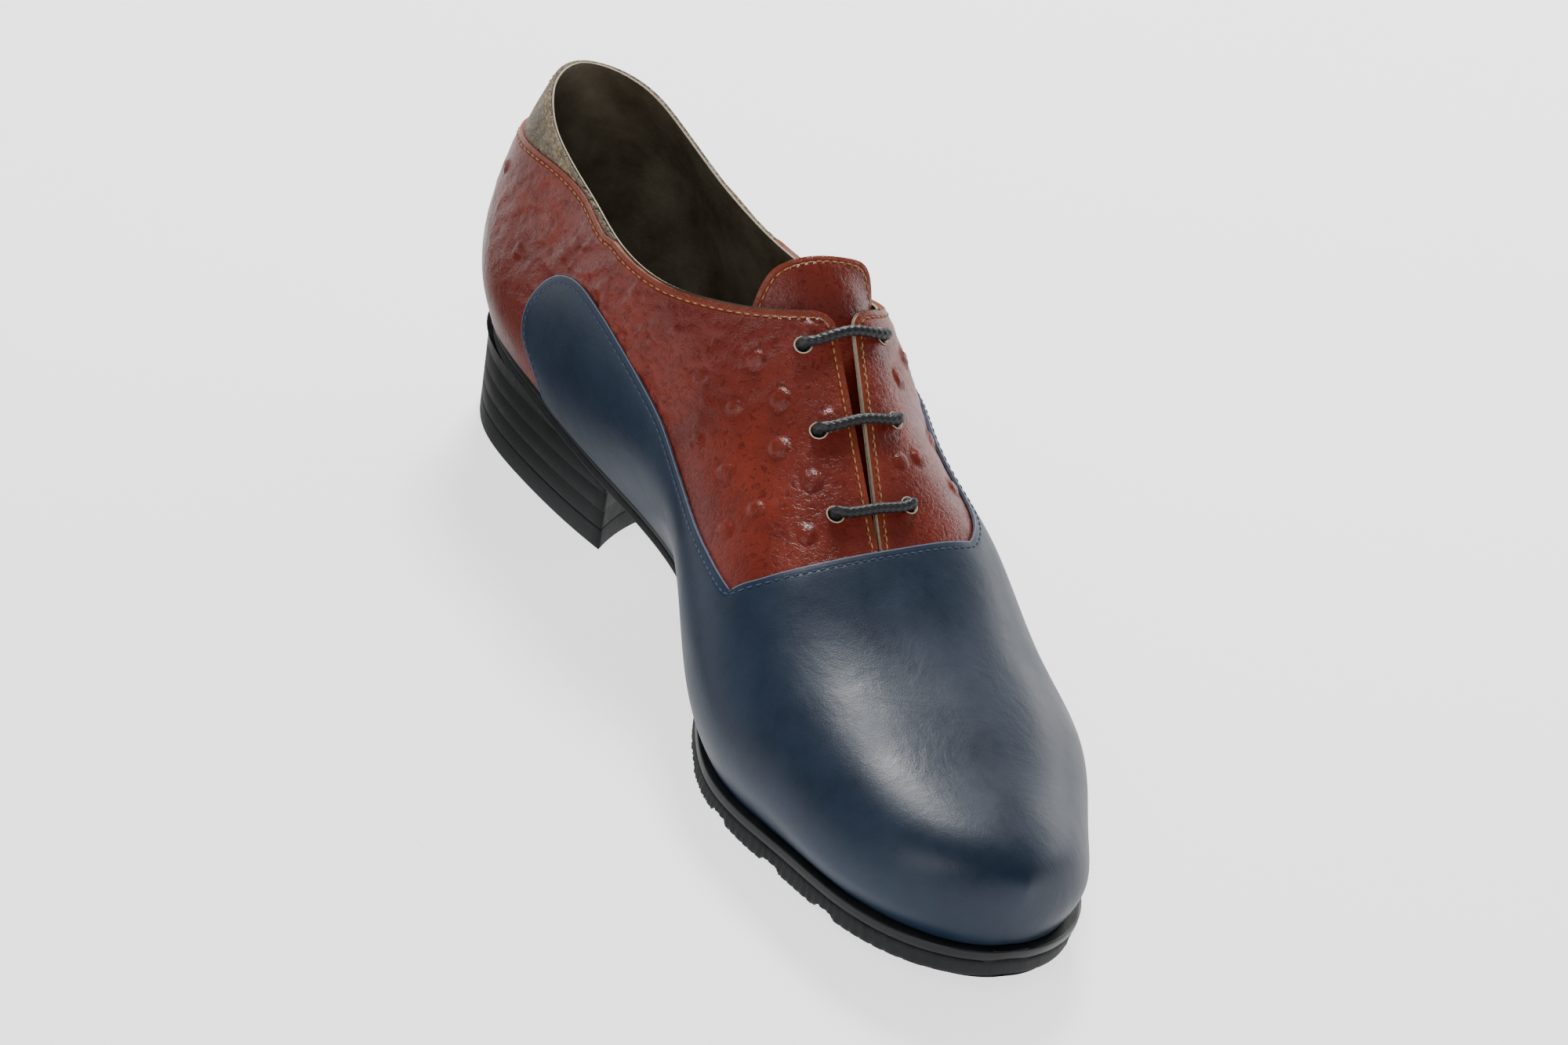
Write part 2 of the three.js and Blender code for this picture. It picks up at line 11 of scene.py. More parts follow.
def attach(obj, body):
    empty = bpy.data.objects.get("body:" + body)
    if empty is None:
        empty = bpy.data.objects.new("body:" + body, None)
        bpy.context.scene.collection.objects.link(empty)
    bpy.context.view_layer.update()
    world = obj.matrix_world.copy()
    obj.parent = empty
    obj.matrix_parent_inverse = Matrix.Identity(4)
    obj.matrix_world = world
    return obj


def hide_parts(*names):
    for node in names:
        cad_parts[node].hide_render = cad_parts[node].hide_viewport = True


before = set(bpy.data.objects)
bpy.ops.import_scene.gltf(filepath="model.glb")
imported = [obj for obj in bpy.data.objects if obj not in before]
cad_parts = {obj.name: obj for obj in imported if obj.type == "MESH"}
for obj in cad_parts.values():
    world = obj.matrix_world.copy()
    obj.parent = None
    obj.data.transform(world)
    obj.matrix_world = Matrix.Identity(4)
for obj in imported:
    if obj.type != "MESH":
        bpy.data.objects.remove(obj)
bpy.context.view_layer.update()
scene = bpy.context.scene

# Lining: one soft olive leather bag pulled over the last, seen down inside the collar.
# The last is given here as cross-sections from heel to toe, the same as in the solid model:
# millimetres in its own frame, heel at x = 0, and every leather piece is laid over it.
ORIGIN = np.array([139.35, 9.179, 0.0])
LAST_LENGTH, BALL_HALF, INSTEP_RISE, COLLAR_HEIGHT = 276, 47, 80, 104
SEAT_HEIGHT, SOLE_HEIGHT, TOE_SPRING = 34.3, 7.3, 7.5
COLUMNS = (
    "at swing lean lift spring welt footMedial bulgeMedial bulgeMedialUp shoulderMedial "
    "shoulderMedialUp crestUp shoulderLateral shoulderLateralUp bulgeLateral bulgeLateralUp "
    "footLateral"
).split()
SECTIONS = np.array([
    [0.00, 0.13, -0.13, 1.00, 0.00, -0.5, 0.00, 0.00, 0.21, 0.00, 0.58, 0.96, 0.00, 0.58, 0.00, 0.21, 0.00],
    [0.03, 0.13, -0.13, 1.00, 0.00, -0.5, 0.37, 0.42, 0.21, 0.40, 0.58, 1.06, 0.44, 0.58, 0.42, 0.21, 0.36],
    [0.09, 0.13, -0.13, 0.98, 0.00, -0.5, 0.54, 0.63, 0.20, 0.53, 0.57, 1.09, 0.57, 0.60, 0.65, 0.20, 0.51],
    [0.19, 0.14, -0.12, 0.91, 0.00, -0.4, 0.56, 0.66, 0.21, 0.50, 0.61, 1.12, 0.58, 0.63, 0.71, 0.21, 0.57],
    [0.31, 0.19, -0.07, 0.72, 0.00, -0.2, 0.49, 0.64, 0.25, 0.58, 0.67, 1.11, 0.62, 0.65, 0.77, 0.23, 0.57],
    [0.41, 0.28, -0.02, 0.48, 0.00, 0.00, 0.42, 0.67, 0.28, 0.60, 0.67, 1.00, 0.62, 0.74, 0.83, 0.23, 0.60],
    [0.51, 0.30, 0.00, 0.22, 0.00, 0.35, 0.48, 0.79, 0.27, 0.63, 0.61, 0.87, 0.65, 0.61, 0.91, 0.21, 0.66],
    [0.61, 0.23, 0.00, 0.05, 0.00, 0.80, 0.70, 0.92, 0.21, 0.73, 0.52, 0.70, 0.77, 0.54, 0.98, 0.19, 0.81],
    [0.70, 0.13, 0.00, 0.00, 0.00, 1.00, 0.79, 0.95, 0.17, 0.76, 0.41, 0.54, 0.80, 0.44, 1.07, 0.18, 0.93],
    [0.80, 0.02, 0.00, 0.00, 0.14, 1.00, 0.64, 0.82, 0.14, 0.68, 0.33, 0.43, 0.81, 0.36, 1.05, 0.16, 0.92],
    [0.89, -0.05, 0.00, 0.00, 0.44, 1.00, 0.51, 0.68, 0.11, 0.58, 0.27, 0.35, 0.64, 0.28, 0.84, 0.12, 0.79],
    [0.96, -0.05, 0.00, 0.00, 0.75, 1.00, 0.35, 0.47, 0.09, 0.41, 0.22, 0.29, 0.42, 0.22, 0.57, 0.09, 0.51],
    [1.00, -0.02, 0.00, 0.00, 1.00, 1.00, 0.00, 0.00, 0.06, 0.00, 0.11, 0.16, 0.00, 0.11, 0.00, 0.06, 0.00],
])
BACK_UP = np.array([0.00, 0.10, 0.25, 0.45, 0.65, 0.85])
BACK_LEAN = np.array([0.010, 0.003, 0.000, 0.005, 0.016, 0.030])
LEAN_REACH = 0.3
ACROSS = np.array([-1, -0.8, -0.5, 0, 0.5, 0.8, 1])


def station_at(share):
    """The station at a share of the length: stations crowd together towards heel and toe."""
    return np.arccos(1 - 2 * np.clip(share, 0, 1)) / math.pi


def share_at(station):
    return (1 - np.cos(math.pi * station)) / 2


STATIONS = station_at(SECTIONS[:, 0])


def spline_weights(knots, places):
    """How much each knot's value counts at each place on a natural cubic spline."""
    knots = np.asarray(knots, float)
    places = np.atleast_1d(np.asarray(places, float))
    count, gap = len(knots), np.diff(knots)
    system, right = np.eye(count), np.zeros((count, count))
    for i in range(1, count - 1):
        system[i, i - 1:i + 2] = gap[i - 1], 2 * (gap[i - 1] + gap[i]), gap[i]
        right[i, i - 1:i + 2] = 6 / gap[i - 1], -6 / gap[i - 1] - 6 / gap[i], 6 / gap[i]
    bend, unit = np.linalg.solve(system, right), np.eye(count)
    i = np.clip(np.searchsorted(knots, places) - 1, 0, count - 2)
    width = gap[i][:, None]
    before, after = (knots[i + 1] - places)[:, None], (places - knots[i])[:, None]
    curve = (bend[i] * before**3 + bend[i + 1] * after**3) / (6 * width)
    start = (unit[i] / width - bend[i] * width / 6) * before
    end = (unit[i + 1] / width - bend[i + 1] * width / 6) * after
    return curve + start + end


def back_lean(station, z):
    """How far the heel's curved back stands forward at a height."""
    fade = np.clip(1 - share_at(station) / LEAN_REACH, 0, 1)
    z = np.clip(z, SEAT_HEIGHT, SEAT_HEIGHT + BACK_UP[-1] * INSTEP_RISE)
    weights = spline_weights(SEAT_HEIGHT + BACK_UP * INSTEP_RISE, z)
    return weights @ (BACK_LEAN * LAST_LENGTH) * fade * fade * (3 - 2 * fade)


def lengths_at(station):
    return dict(zip(COLUMNS, (spline_weights(STATIONS, station) @ SECTIONS).T))


def feather_height(size):
    lift = size["lift"] * (SEAT_HEIGHT - SOLE_HEIGHT)
    return SOLE_HEIGHT + lift + size["spring"] * TOE_SPRING


def end_fade(station):
    return np.sin(np.minimum(1, 6 * np.minimum(station, 1 - station)) * math.pi / 2)


def last_points(station, across, grow):
    """Points over the last, grown outwards: station from heel 0 to toe 1, across from -1 to 1."""
    station, across = np.clip(station, 0, 1), np.clip(across, -1, 1)
    size, fade = lengths_at(station), end_fade(station)
    floor, slant = feather_height(size), grow * math.sqrt(0.5)

    def half(name, extra):
        return np.maximum(0, size[name] * BALL_HALF + extra * fade)

    def up(name, extra):
        return floor + size[name] * INSTEP_RISE + extra

    sides = np.stack([
        -half("footMedial", grow), -half("bulgeMedial", grow), -half("shoulderMedial", slant), 0 * fade,
        half("shoulderLateral", slant), half("bulgeLateral", grow), half("footLateral", grow),
    ], axis=1)
    heights = np.stack([
        floor, up("bulgeMedialUp", 0), up("shoulderMedialUp", slant), up("crestUp", grow),
        up("shoulderLateralUp", slant), up("bulgeLateralUp", 0), floor,
    ], axis=1)
    weights = spline_weights(ACROSS, across)
    side, z = (sides * weights).sum(axis=1), (heights * weights).sum(axis=1)
    x = -grow + share_at(station) * (LAST_LENGTH + 2 * grow) + back_lean(station, z)
    return np.stack([x, side + size["swing"] * BALL_HALF + size["lean"] * (z - floor), z], axis=1)


def smooth_curve(rows, step=0.5):
    """Centripetal curve through points of a plane, sampled about every half millimetre."""
    rows = np.asarray(rows, float)
    rows = np.vstack([2 * rows[0] - rows[1], rows, 2 * rows[-1] - rows[-2]])
    out = []
    for a, b, c, d in zip(rows, rows[1:], rows[2:], rows[3:]):
        ab, bc, cd = (math.sqrt(np.linalg.norm(q - p)) for p, q in ((a, b), (b, c), (c, d)))
        m = ((b - a) / ab - (c - a) / (ab + bc) + (c - b) / bc) * bc
        n = ((c - b) / bc - (d - b) / (bc + cd) + (d - c) / cd) * bc
        t = np.linspace(0, 1, max(2, int(bc * bc / step)), endpoint=False)[:, None]
        out.append(b + m * t + (3 * (c - b) - 2 * m - n) * t**2 + (2 * (b - c) + m + n) * t**3)
    return np.vstack(out + [rows[-2:-1]])


TOPLINE = smooth_curve(np.array([
    (-0.03, 1.000), (0.03, 0.998), (0.07, 0.968), (0.12, 0.908), (0.17, 0.866), (0.22, 0.842),
    (0.28, 0.822), (0.34, 0.820), (0.39, 0.845), (0.43, 0.880), (0.46, 0.930), (0.49, 1.060),
]) * [LAST_LENGTH, COLLAR_HEIGHT])
THROAT_TOP, THROAT_BOTTOM = 116, 178
THROAT_SIDE, SLIT_HALF = (17, 7), (3, 0.45)
FACING_CORNER, TOPLINE_SLOPE = 4.5, 0.85


def below_topline(points):
    return np.interp(points[:, 0], TOPLINE[:, 0], TOPLINE[:, 1], right=999) - points[:, 2]


def down_throat(x, size):
    """A size that changes evenly from the throat's top to its bottom."""
    return size[0] + (x - THROAT_TOP) / (THROAT_BOTTOM - THROAT_TOP) * (size[1] - size[0])


def throat_side(x):
    return down_throat(x, THROAT_SIDE)


def beside_throat(points):
    x = points[:, 0]
    distance = np.abs(points[:, 1] - throat_side(x)) - down_throat(x, SLIT_HALF)
    distance = np.where(x > THROAT_BOTTOM, np.maximum(distance, x - THROAT_BOTTOM), distance)
    return np.where(x < THROAT_TOP - 20, 99, distance)


def rounded_corner(a, b, radius):
    """Where two edges meet, distances a and b inside them become one with a round corner."""
    near = radius - np.hypot(np.maximum(radius - a, 0), np.maximum(radius - b, 0))
    return np.where((a < radius) & (b < radius), near, np.minimum(a, b))


def inside_facings(points):
    return rounded_corner(TOPLINE_SLOPE * below_topline(points), beside_throat(points), FACING_CORNER)


def to_frame(points):
    return (np.asarray(points) - ORIGIN) / 1000


def to_last(places):
    return np.array([tuple(place) for place in places]).reshape(-1, 3) * 1000 + ORIGIN


def move_verts(mesh, points):
    for vert, point in zip(mesh.verts, to_frame(points)):
        vert.co = point


def last_sheet(rows, columns, grow, stations=(0, 1)):
    """A sheet of leather laid over the last, from one feather edge over to the other."""
    mesh = bmesh.new()
    bmesh.ops.create_grid(mesh, x_segments=rows, y_segments=columns, size=1)
    flat = np.array([vert.co[:2] for vert in mesh.verts])
    station = stations[0] + (flat[:, 0] + 1) / 2 * (stations[1] - stations[0])
    move_verts(mesh, last_points(station, flat[:, 1], grow))
    bmesh.ops.remove_doubles(mesh, verts=mesh.verts, dist=1e-6)
    return mesh


def trim(mesh, inside):
    """Cut the sheet along a line, and keep the part where inside(points) is positive."""
    layer = mesh.verts.layers.float.new("inside")
    for vert, value in zip(mesh.verts, inside(to_last([vert.co for vert in mesh.verts]))):
        vert[layer] = value
    cut = [edge for edge in mesh.edges if edge.verts[0][layer] * edge.verts[1][layer] < 0]
    made = bmesh.ops.bisect_edges(mesh, edges=cut, cuts=1)
    corners = [item for item in made["geom_split"] if isinstance(item, bmesh.types.BMVert)]
    for corner in corners:
        a, b = (edge.other_vert(corner) for edge in corner.link_edges)
        corner.co = a.co.lerp(b.co, a[layer] / (a[layer] - b[layer]))
    bmesh.ops.connect_verts(mesh, verts=corners)
    faces = list(mesh.faces)
    kept = inside(to_last([face.calc_center_median() for face in faces]))
    away = [face for face, v in zip(faces, kept) if v < 0]
    bmesh.ops.delete(mesh, geom=away, context="FACES")
    bmesh.ops.dissolve_degenerate(mesh, dist=2e-5, edges=mesh.edges)
    mesh.verts.layers.float.remove(layer)


def face_out(mesh):
    """Turn an open sheet's faces away from the inside of the shoe."""
    bmesh.ops.recalc_face_normals(mesh, faces=mesh.faces)
    middle = Vector(to_frame([140, 8, 40]))
    outward = sum(face.normal.dot(face.calc_center_median() - middle) for face in mesh.faces)
    if outward < 0:
        bmesh.ops.reverse_faces(mesh, faces=mesh.faces)


def as_object(name, mesh, materials):
    data = bpy.data.meshes.new(name)
    mesh.to_mesh(data)
    mesh.free()
    data.shade_smooth()
    for material in materials:
        data.materials.append(material)
    made = bpy.data.objects.new(name, data)
    scene.collection.objects.link(made)
    return made


def finish_piece(name, mesh, materials, nodes=()):
    piece = as_object(name, mesh, materials)
    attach(piece, "root")
    if nodes:
        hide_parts(*nodes)
    return piece


def give_wall(piece, thickness, rounding, edge_slot=0):
    """Thickness inwards, with a softly rounded cut edge."""
    wall = piece.modifiers.new("wall", "SOLIDIFY")
    wall.thickness = thickness / 1000
    wall.offset = -1
    wall.use_even_offset = False
    wall.material_offset_rim = edge_slot
    edge = piece.modifiers.new("cut_edge", "BEVEL")
    edge.width = rounding / 1000
    edge.segments = 2
    edge.limit_method = "ANGLE"
    edge.angle_limit = math.radians(50)
    edge.harden_normals = True


def add(tree, kind, inputs=None, **settings):
    """A shader node with its settings, and its inputs given as values or as other sockets."""
    node = tree.nodes.new("ShaderNode" + kind)
    for name, value in settings.items():
        setattr(node, name, value)
    for name, value in (inputs or {}).items():
        if isinstance(value, bpy.types.NodeSocket):
            tree.links.new(value, node.inputs[name])
        else:
            node.inputs[name].default_value = value
    return node


def mix_colors(tree, factor, first, second, blend="MIX"):
    node = add(tree, "Mix", data_type="RGBA", blend_type=blend)
    for index, value in ((0, factor), (6, first), (7, second)):
        if isinstance(value, bpy.types.NodeSocket):
            tree.links.new(value, node.inputs[index])
        else:
            node.inputs[index].default_value = value
    return node.outputs[2]


def ramp(tree, factor, *stops):
    node = add(tree, "ValToRGB", {"Fac": factor})
    for i, (place, value) in enumerate(stops):
        element = node.color_ramp.elements[i] if i < 2 else node.color_ramp.elements.new(place)
        element.position = place
        element.color = (value, value, value, 1) if isinstance(value, (int, float)) else value
    return node.outputs["Color"]


def new_material(name, **constants):
    material = bpy.data.materials.new(name)
    material.use_nodes = True
    shader = material.node_tree.nodes["Principled BSDF"]
    for socket, value in constants.items():
        shader.inputs[socket.replace("_", " ")].default_value = value
    return material, material.node_tree, shader


def two_tone(tree, mask, span, dark, light):
    """Two colours mixed by a mask, the dark one below the span and the light one above it."""
    return mix_colors(tree, ramp(tree, mask, (span[0], 0.0), (span[1], 1.0)), dark, light)


def map_range(tree, value, source, target):
    return add(tree, "MapRange", {"Value": value, "From Min": source[0], "From Max": source[1],
                                  "To Min": target[0], "To Max": target[1]}).outputs[0]


def noise_at(tree, place, scale, detail, **settings):
    inputs = {"Vector": place, "Scale": scale, "Detail": detail, **settings}
    return add(tree, "TexNoise", inputs).outputs["Fac"]


def dress(tree, shader, color, *reliefs):
    """Link the colour, and a chain of bumps given as height socket, strength and metres."""
    tree.links.new(color, shader.inputs["Base Color"])
    normal = {}
    for height, strength, distance in reliefs:
        sockets = {"Strength": strength, "Distance": distance, "Height": height, **normal}
        normal = {"Normal": add(tree, "Bump", sockets).outputs[0]}
    if normal:
        tree.links.new(normal["Normal"], shader.inputs["Normal"])


def fibrous(name, scale, detail, dark, light, relief=None, **constants):
    """Cut leather, thread or cord: one fine noise gives its colour and its relief."""
    material, tree, shader = new_material(name, **constants)
    fibre = noise_at(tree, add(tree, "TexCoord").outputs["Object"], scale, detail)
    dress(tree, shader, mix_colors(tree, fibre, dark, light), *([(fibre, *relief)] if relief else []))
    return material


def new_group(name, inputs, outputs):
    group = bpy.data.node_groups.new(name, "ShaderNodeTree")
    for in_out, sockets in (("INPUT", inputs), ("OUTPUT", outputs)):
        for socket, kind in sockets.items():
            group.interface.new_socket(socket, in_out=in_out, socket_type="NodeSocket" + kind)
    return group, group.nodes.new("NodeGroupInput").outputs, group.nodes.new("NodeGroupOutput").inputs


def leather_grain():
    """Fine pores and creases: Pores is the cell count per metre, Height feeds a Bump node."""
    group, given, out = new_group(
        "leather_grain",
        {"Vector": "Vector", "Pores": "Float", "Creases": "Float"},
        {"Height": "Float", "Tone": "Float"},
    )
    warp = add(group, "TexNoise", {"Vector": given["Vector"], "Scale": 180.0, "Detail": 3.0})
    offset = add(group, "VectorMath", {0: warp.outputs["Color"], 1: (0.5,) * 3}, operation="SUBTRACT")
    bent = add(group, "VectorMath", {0: offset.outputs[0], 1: (0.004,) * 3}, operation="MULTIPLY")
    moved = add(group, "VectorMath", {0: given["Vector"], 1: bent.outputs[0]}, operation="ADD")
    place = moved.outputs[0]
    pores = add(group, "TexVoronoi", {"Vector": place, "Scale": given["Pores"]},
                feature="DISTANCE_TO_EDGE")
    pore = ramp(group, pores.outputs["Distance"], (0.0, 0.0), (0.22, 1.0))
    crease = noise_at(group, place, given["Creases"], 4.0, Roughness=0.55, Distortion=0.6)
    fold = ramp(group, crease, (0.38, 0.0), (0.52, 1.0))
    high = add(group, "Math", {0: pore, 1: 0.35}, operation="MULTIPLY")
    total = add(group, "Math", {0: fold, 1: high.outputs[0]}, operation="ADD")
    group.links.new(total.outputs[0], out["Height"])
    group.links.new(noise_at(group, given["Vector"], 55.0, 5.0, Roughness=0.6), out["Tone"])
    return group


GRAIN = leather_grain()


def use_grain(tree, pores, creases):
    place = add(tree, "TexCoord").outputs["Object"]
    grain = add(tree, "Group", {"Vector": place, "Pores": pores, "Creases": creases}, node_tree=GRAIN)
    return place, grain.outputs["Height"], grain.outputs["Tone"]


lining_leather, tree, shader = new_material("lining_leather", Roughness=0.62)
_, height, tone = use_grain(tree, 1500.0, 260.0)
color = two_tone(tree, tone, (0.35, 0.68), (0.060, 0.046, 0.026, 1), (0.155, 0.130, 0.088, 1))
dress(tree, shader, color, (height, 0.25, 0.0003))
raw_edge = fibrous("raw_leather_edge", 1400.0, 3.0, (0.36, 0.29, 0.19, 1), (0.70, 0.62, 0.48, 1),
                   relief=(0.6, 0.0004), Roughness=0.9)

LINING_DEPTH, LINING_THICKNESS = 1.68, 0.52
mesh = last_sheet(220, 160, -LINING_DEPTH)
trim(mesh, lambda p: np.minimum(below_topline(p) + 0.3, inside_facings(p) + 0.1))
face_out(mesh)
lining = finish_piece("lining", mesh, (lining_leather, raw_edge), ("vamp_lining",))
give_wall(lining, LINING_THICKNESS, 0.12, edge_slot=1)

# Quarters: red leather embossed with quill bumps, closed over the instep by the lace.
# One hide is laid over the last, cut at topline, throat and collar seam, and punched for the
# lace. The outer facing's cut edge is left raw: a cream line along the slit.
COLLAR_SEAM = smooth_curve(np.array([
    (-0.03, 0.828), (0.07, 0.838), (0.14, 0.853), (0.19, 0.848), (0.25, 0.820), (0.275, 0.830),
]) * [LAST_LENGTH, COLLAR_HEIGHT])
FIRST_EYELET, EYELET_PITCH, EYELET_SPREAD, EYELET_RADIUS = 128, 20, 11.2, 2.05
QUARTER_THICKNESS, QUARTER_STITCH, VAMP_OVERLAP, EDGE_NEAR = 1.3, 1.7, 9, 0.06
WING_MEDIAL = smooth_curve(np.array([
    (0.220, 0.240), (0.203, 0.375), (0.190, 0.435), (0.187, 0.500), (0.193, 0.575), (0.213, 0.650),
    (0.247, 0.685), (0.296, 0.670), (0.336, 0.635), (0.377, 0.592), (0.410, 0.558), (0.458, 0.503),
    (0.522, 0.458), (0.583, 0.443), (0.640, 0.438),
]) * [LAST_LENGTH, COLLAR_HEIGHT], step=1)
WING_LATERAL = smooth_curve(np.array([
    (0.225, 0.240), (0.208, 0.375), (0.195, 0.435), (0.192, 0.500), (0.198, 0.580), (0.218, 0.655),
    (0.252, 0.698), (0.300, 0.708), (0.360, 0.700), (0.420, 0.692), (0.475, 0.676), (0.515, 0.648),
    (0.545, 0.616), (0.580, 0.590), (0.626, 0.574), (0.660, 0.562),
]) * [LAST_LENGTH, COLLAR_HEIGHT], step=1)
VAMP_LINE = smooth_curve(np.array([
    (-1.20, 0.590), (-0.62, 0.623), (-0.50, 0.637), (-0.36, 0.645), (-0.18, 0.649), (0.05, 0.649),
    (0.30, 0.647), (0.53, 0.643), (0.73, 0.637), (1.05, 0.620), (1.40, 0.600),
]) * [BALL_HALF, LAST_LENGTH])
# Quills: share of the length, place across from -1 medial to 1 lateral, and size
QUILLS = [
    (0.383, -0.492, 0.70), (0.426, -0.504, 0.70), (0.451, -0.333, 0.90), (0.492, -0.308, 1.15),
    (0.530, -0.154, 0.90), (0.530, -0.350, 1.15), (0.574, -0.246, 1.10), (0.511, -0.529, 0.80),
    (0.567, -0.454, 0.70), (0.561, -0.562, 0.90), (0.617, -0.279, 0.95), (0.454, -0.129, 0.90),
    (0.470, -0.450, 0.70), (0.464, -0.592, 0.70), (0.302, -0.521, 0.60), (0.145, -0.642, 0.60),
    (0.210, -0.560, 0.55), (0.405, -0.640, 0.60), (0.340, -0.600, 0.60), (0.060, -0.520, 0.55),
    (0.571, 0.117, 0.70), (0.564, 0.208, 0.80), (0.574, 0.367, 0.80), (0.492, 0.262, 0.80),
    (0.520, 0.400, 0.90), (0.460, 0.380, 0.80), (0.430, 0.520, 0.90), (0.500, 0.560, 0.80),
    (0.370, 0.480, 0.80), (0.330, 0.580, 0.90), (0.280, 0.500, 0.80), (0.400, 0.640, 0.70),
    (0.220, 0.560, 0.70), (0.160, 0.480, 0.70), (0.090, 0.560, 0.70), (0.130, 0.700, 0.70),
]


def below_collar_seam(points):
    return np.interp(points[:, 0], COLLAR_SEAM[:, 0], COLLAR_SEAM[:, 1], right=999) - points[:, 2]


def inside_outline(points, outline):
    """Distance to a closed outline in a plane, positive inside it and negative outside."""
    nearest, inside = np.full(len(points), 1e9), np.zeros(len(points), bool)
    for a, b in zip(outline, np.roll(outline, -1, axis=0)):
        along = b - a
        t = np.clip(((points - a) @ along) / max(along @ along, 1e-9), 0, 1)
        nearest = np.minimum(nearest, np.linalg.norm(points - a - t[:, None] * along, axis=1))
        crosses = (a[1] > points[:, 1]) != (b[1] > points[:, 1])
        if abs(along[1]) > 1e-9:
            inside ^= crosses & (points[:, 0] < a[0] + along[0] * (points[:, 1] - a[1]) / along[1])
    return np.where(inside, nearest, -nearest)


def inside_vamp(points):
    """Inside the wings seen from the side, or in front of the throat line seen from above."""
    wings = []
    for edge in (WING_MEDIAL, WING_LATERAL):
        outline = np.vstack([edge, [(290, edge[-1, 1]), (290, -20), (edge[0, 0], -20)]])
        wings.append(inside_outline(points[:, [0, 2]], outline))
    wing = np.where(points[:, 1] > BALL_HALF * 0.2, wings[1], wings[0])
    front = points[:, 0] - np.interp(points[:, 1], VAMP_LINE[:, 0], VAMP_LINE[:, 1])
    return np.maximum(wing, front)


def face_above(x, y):
    """Height of the last's surface above a place in plan."""
    across = np.linspace(-0.6, 0.6, 241)
    points = last_points(np.full(len(across), station_at(x / LAST_LENGTH)), across, 0.0)
    return float(np.interp(y, points[:, 1], points[:, 2]))


def surface_frame(x, y):
    here = Vector((x, y, face_above(x, y)))
    forward = Vector((x + 1, y, face_above(x + 1, y))) - here
    sideways = Vector((x, y + 1, face_above(x, y + 1))) - here
    return here, forward.cross(sideways).normalized()


EYELETS = []
for i in range(3):
    x = FIRST_EYELET + i * EYELET_PITCH
    for side in (-1, 1):
        EYELETS.append(surface_frame(x, throat_side(x) + side * (EYELET_SPREAD - 0.4 * i)))


def outside_eyelets(points, radius):
    distance = np.full(len(points), 99.0)
    for centre, out in EYELETS:
        away = points - np.array(centre)
        flat = away - np.outer(away @ np.array(out), np.array(out))
        beyond = np.linalg.norm(flat, axis=1) - radius
        near = np.linalg.norm(away, axis=1) < 12
        distance = np.where(near, np.minimum(distance, beyond), distance)
    return distance


def open_edge(mesh, chosen):
    """Points every half millimetre along the open edges that chosen(points) picks."""
    spots = []
    for edge in mesh.edges:
        if edge.is_boundary:
            ends = [Vector(vert.co) for vert in edge.verts]
            if (chosen(to_last(ends)) < EDGE_NEAR).all():
                spots += [ends[0], ends[0].lerp(ends[1], 0.5), ends[1]]
    return spots


def mark_distance(mesh, name, spots):
    """Store each vertex's distance to an edge, in millimetres up to 12, for the materials."""
    layer = mesh.verts.layers.float.new(name)
    tree = KDTree(len(spots))
    for i, spot in enumerate(spots):
        tree.insert(spot, i)
    tree.balance()
    for vert in mesh.verts:
        vert[layer] = min(12.0, tree.find(vert.co)[2] * 1000)
    return layer


def level_lines(mesh, layer, level):
    """Lines on the sheet at one distance from an edge, as lists of points."""
    spots, links = {}, {}
    for edge in mesh.edges:
        a, b = (vert[layer] - level for vert in edge.verts)
        if a * b < 0:
            spots[edge] = edge.verts[0].co.lerp(edge.verts[1].co, a / (a - b))
    for face in mesh.faces:
        pair = [edge for edge in face.edges if edge in spots]
        if len(pair) == 2:
            links.setdefault(pair[0], []).append(pair[1])
            links.setdefault(pair[1], []).append(pair[0])
    lines, used = [], set()
    for start in sorted(links, key=lambda edge: len(links[edge])):
        if start in used:
            continue
        line, here = [], start
        while here is not None:
            used.add(here)
            line.append(spots[here])
            here = next((edge for edge in links[here] if edge not in used), None)
        if len(line) > 8:
            lines.append(line)
    return lines


def lengths_along(points):
    return np.concatenate([[0], np.cumsum(np.linalg.norm(np.diff(points, axis=0), axis=1))])


def even_points(line, spacing):
    """The same line with evenly spaced points, after a little smoothing."""
    points = np.array(line)
    for _ in range(3):
        points[1:-1] = (points[:-2] + 2 * points[1:-1] + points[2:]) / 4
    length = lengths_along(points)
    count = max(2, int(length[-1] / spacing))
    where = np.linspace(0, length[-1], count + 1)
    return np.stack([np.interp(where, length, points[:, i]) for i in range(3)], axis=1)


def sew(target, surface, line, pitch, length, radius, sink):
    """A row of stitches along a line, each a small capsule half sunk into the leather."""
    points = even_points(line, pitch / 1000)
    for a, b in zip(points, points[1:]):
        middle, along = Vector((a + b) / 2), Vector(b - a).normalized()
        spot, normal, _, _ = surface.find_nearest(middle)
        if spot is None:
            continue
        across = normal.cross(along).normalized()
        up = along.cross(across)
        turn = Matrix((along, across, up)).transposed().to_4x4()
        size = Matrix.Diagonal((length / 2000, radius / 1000, radius / 1000, 1))
        centre = Matrix.Translation(spot + up * radius * (1 - 2 * sink) / 1000)
        bmesh.ops.create_uvsphere(target, u_segments=6, v_segments=5, radius=1,
                                  matrix=centre @ turn @ size)


quill_share, quill_across, _ = np.array(QUILLS).T
quill_centres = last_points(station_at(quill_share), quill_across, 0.0)


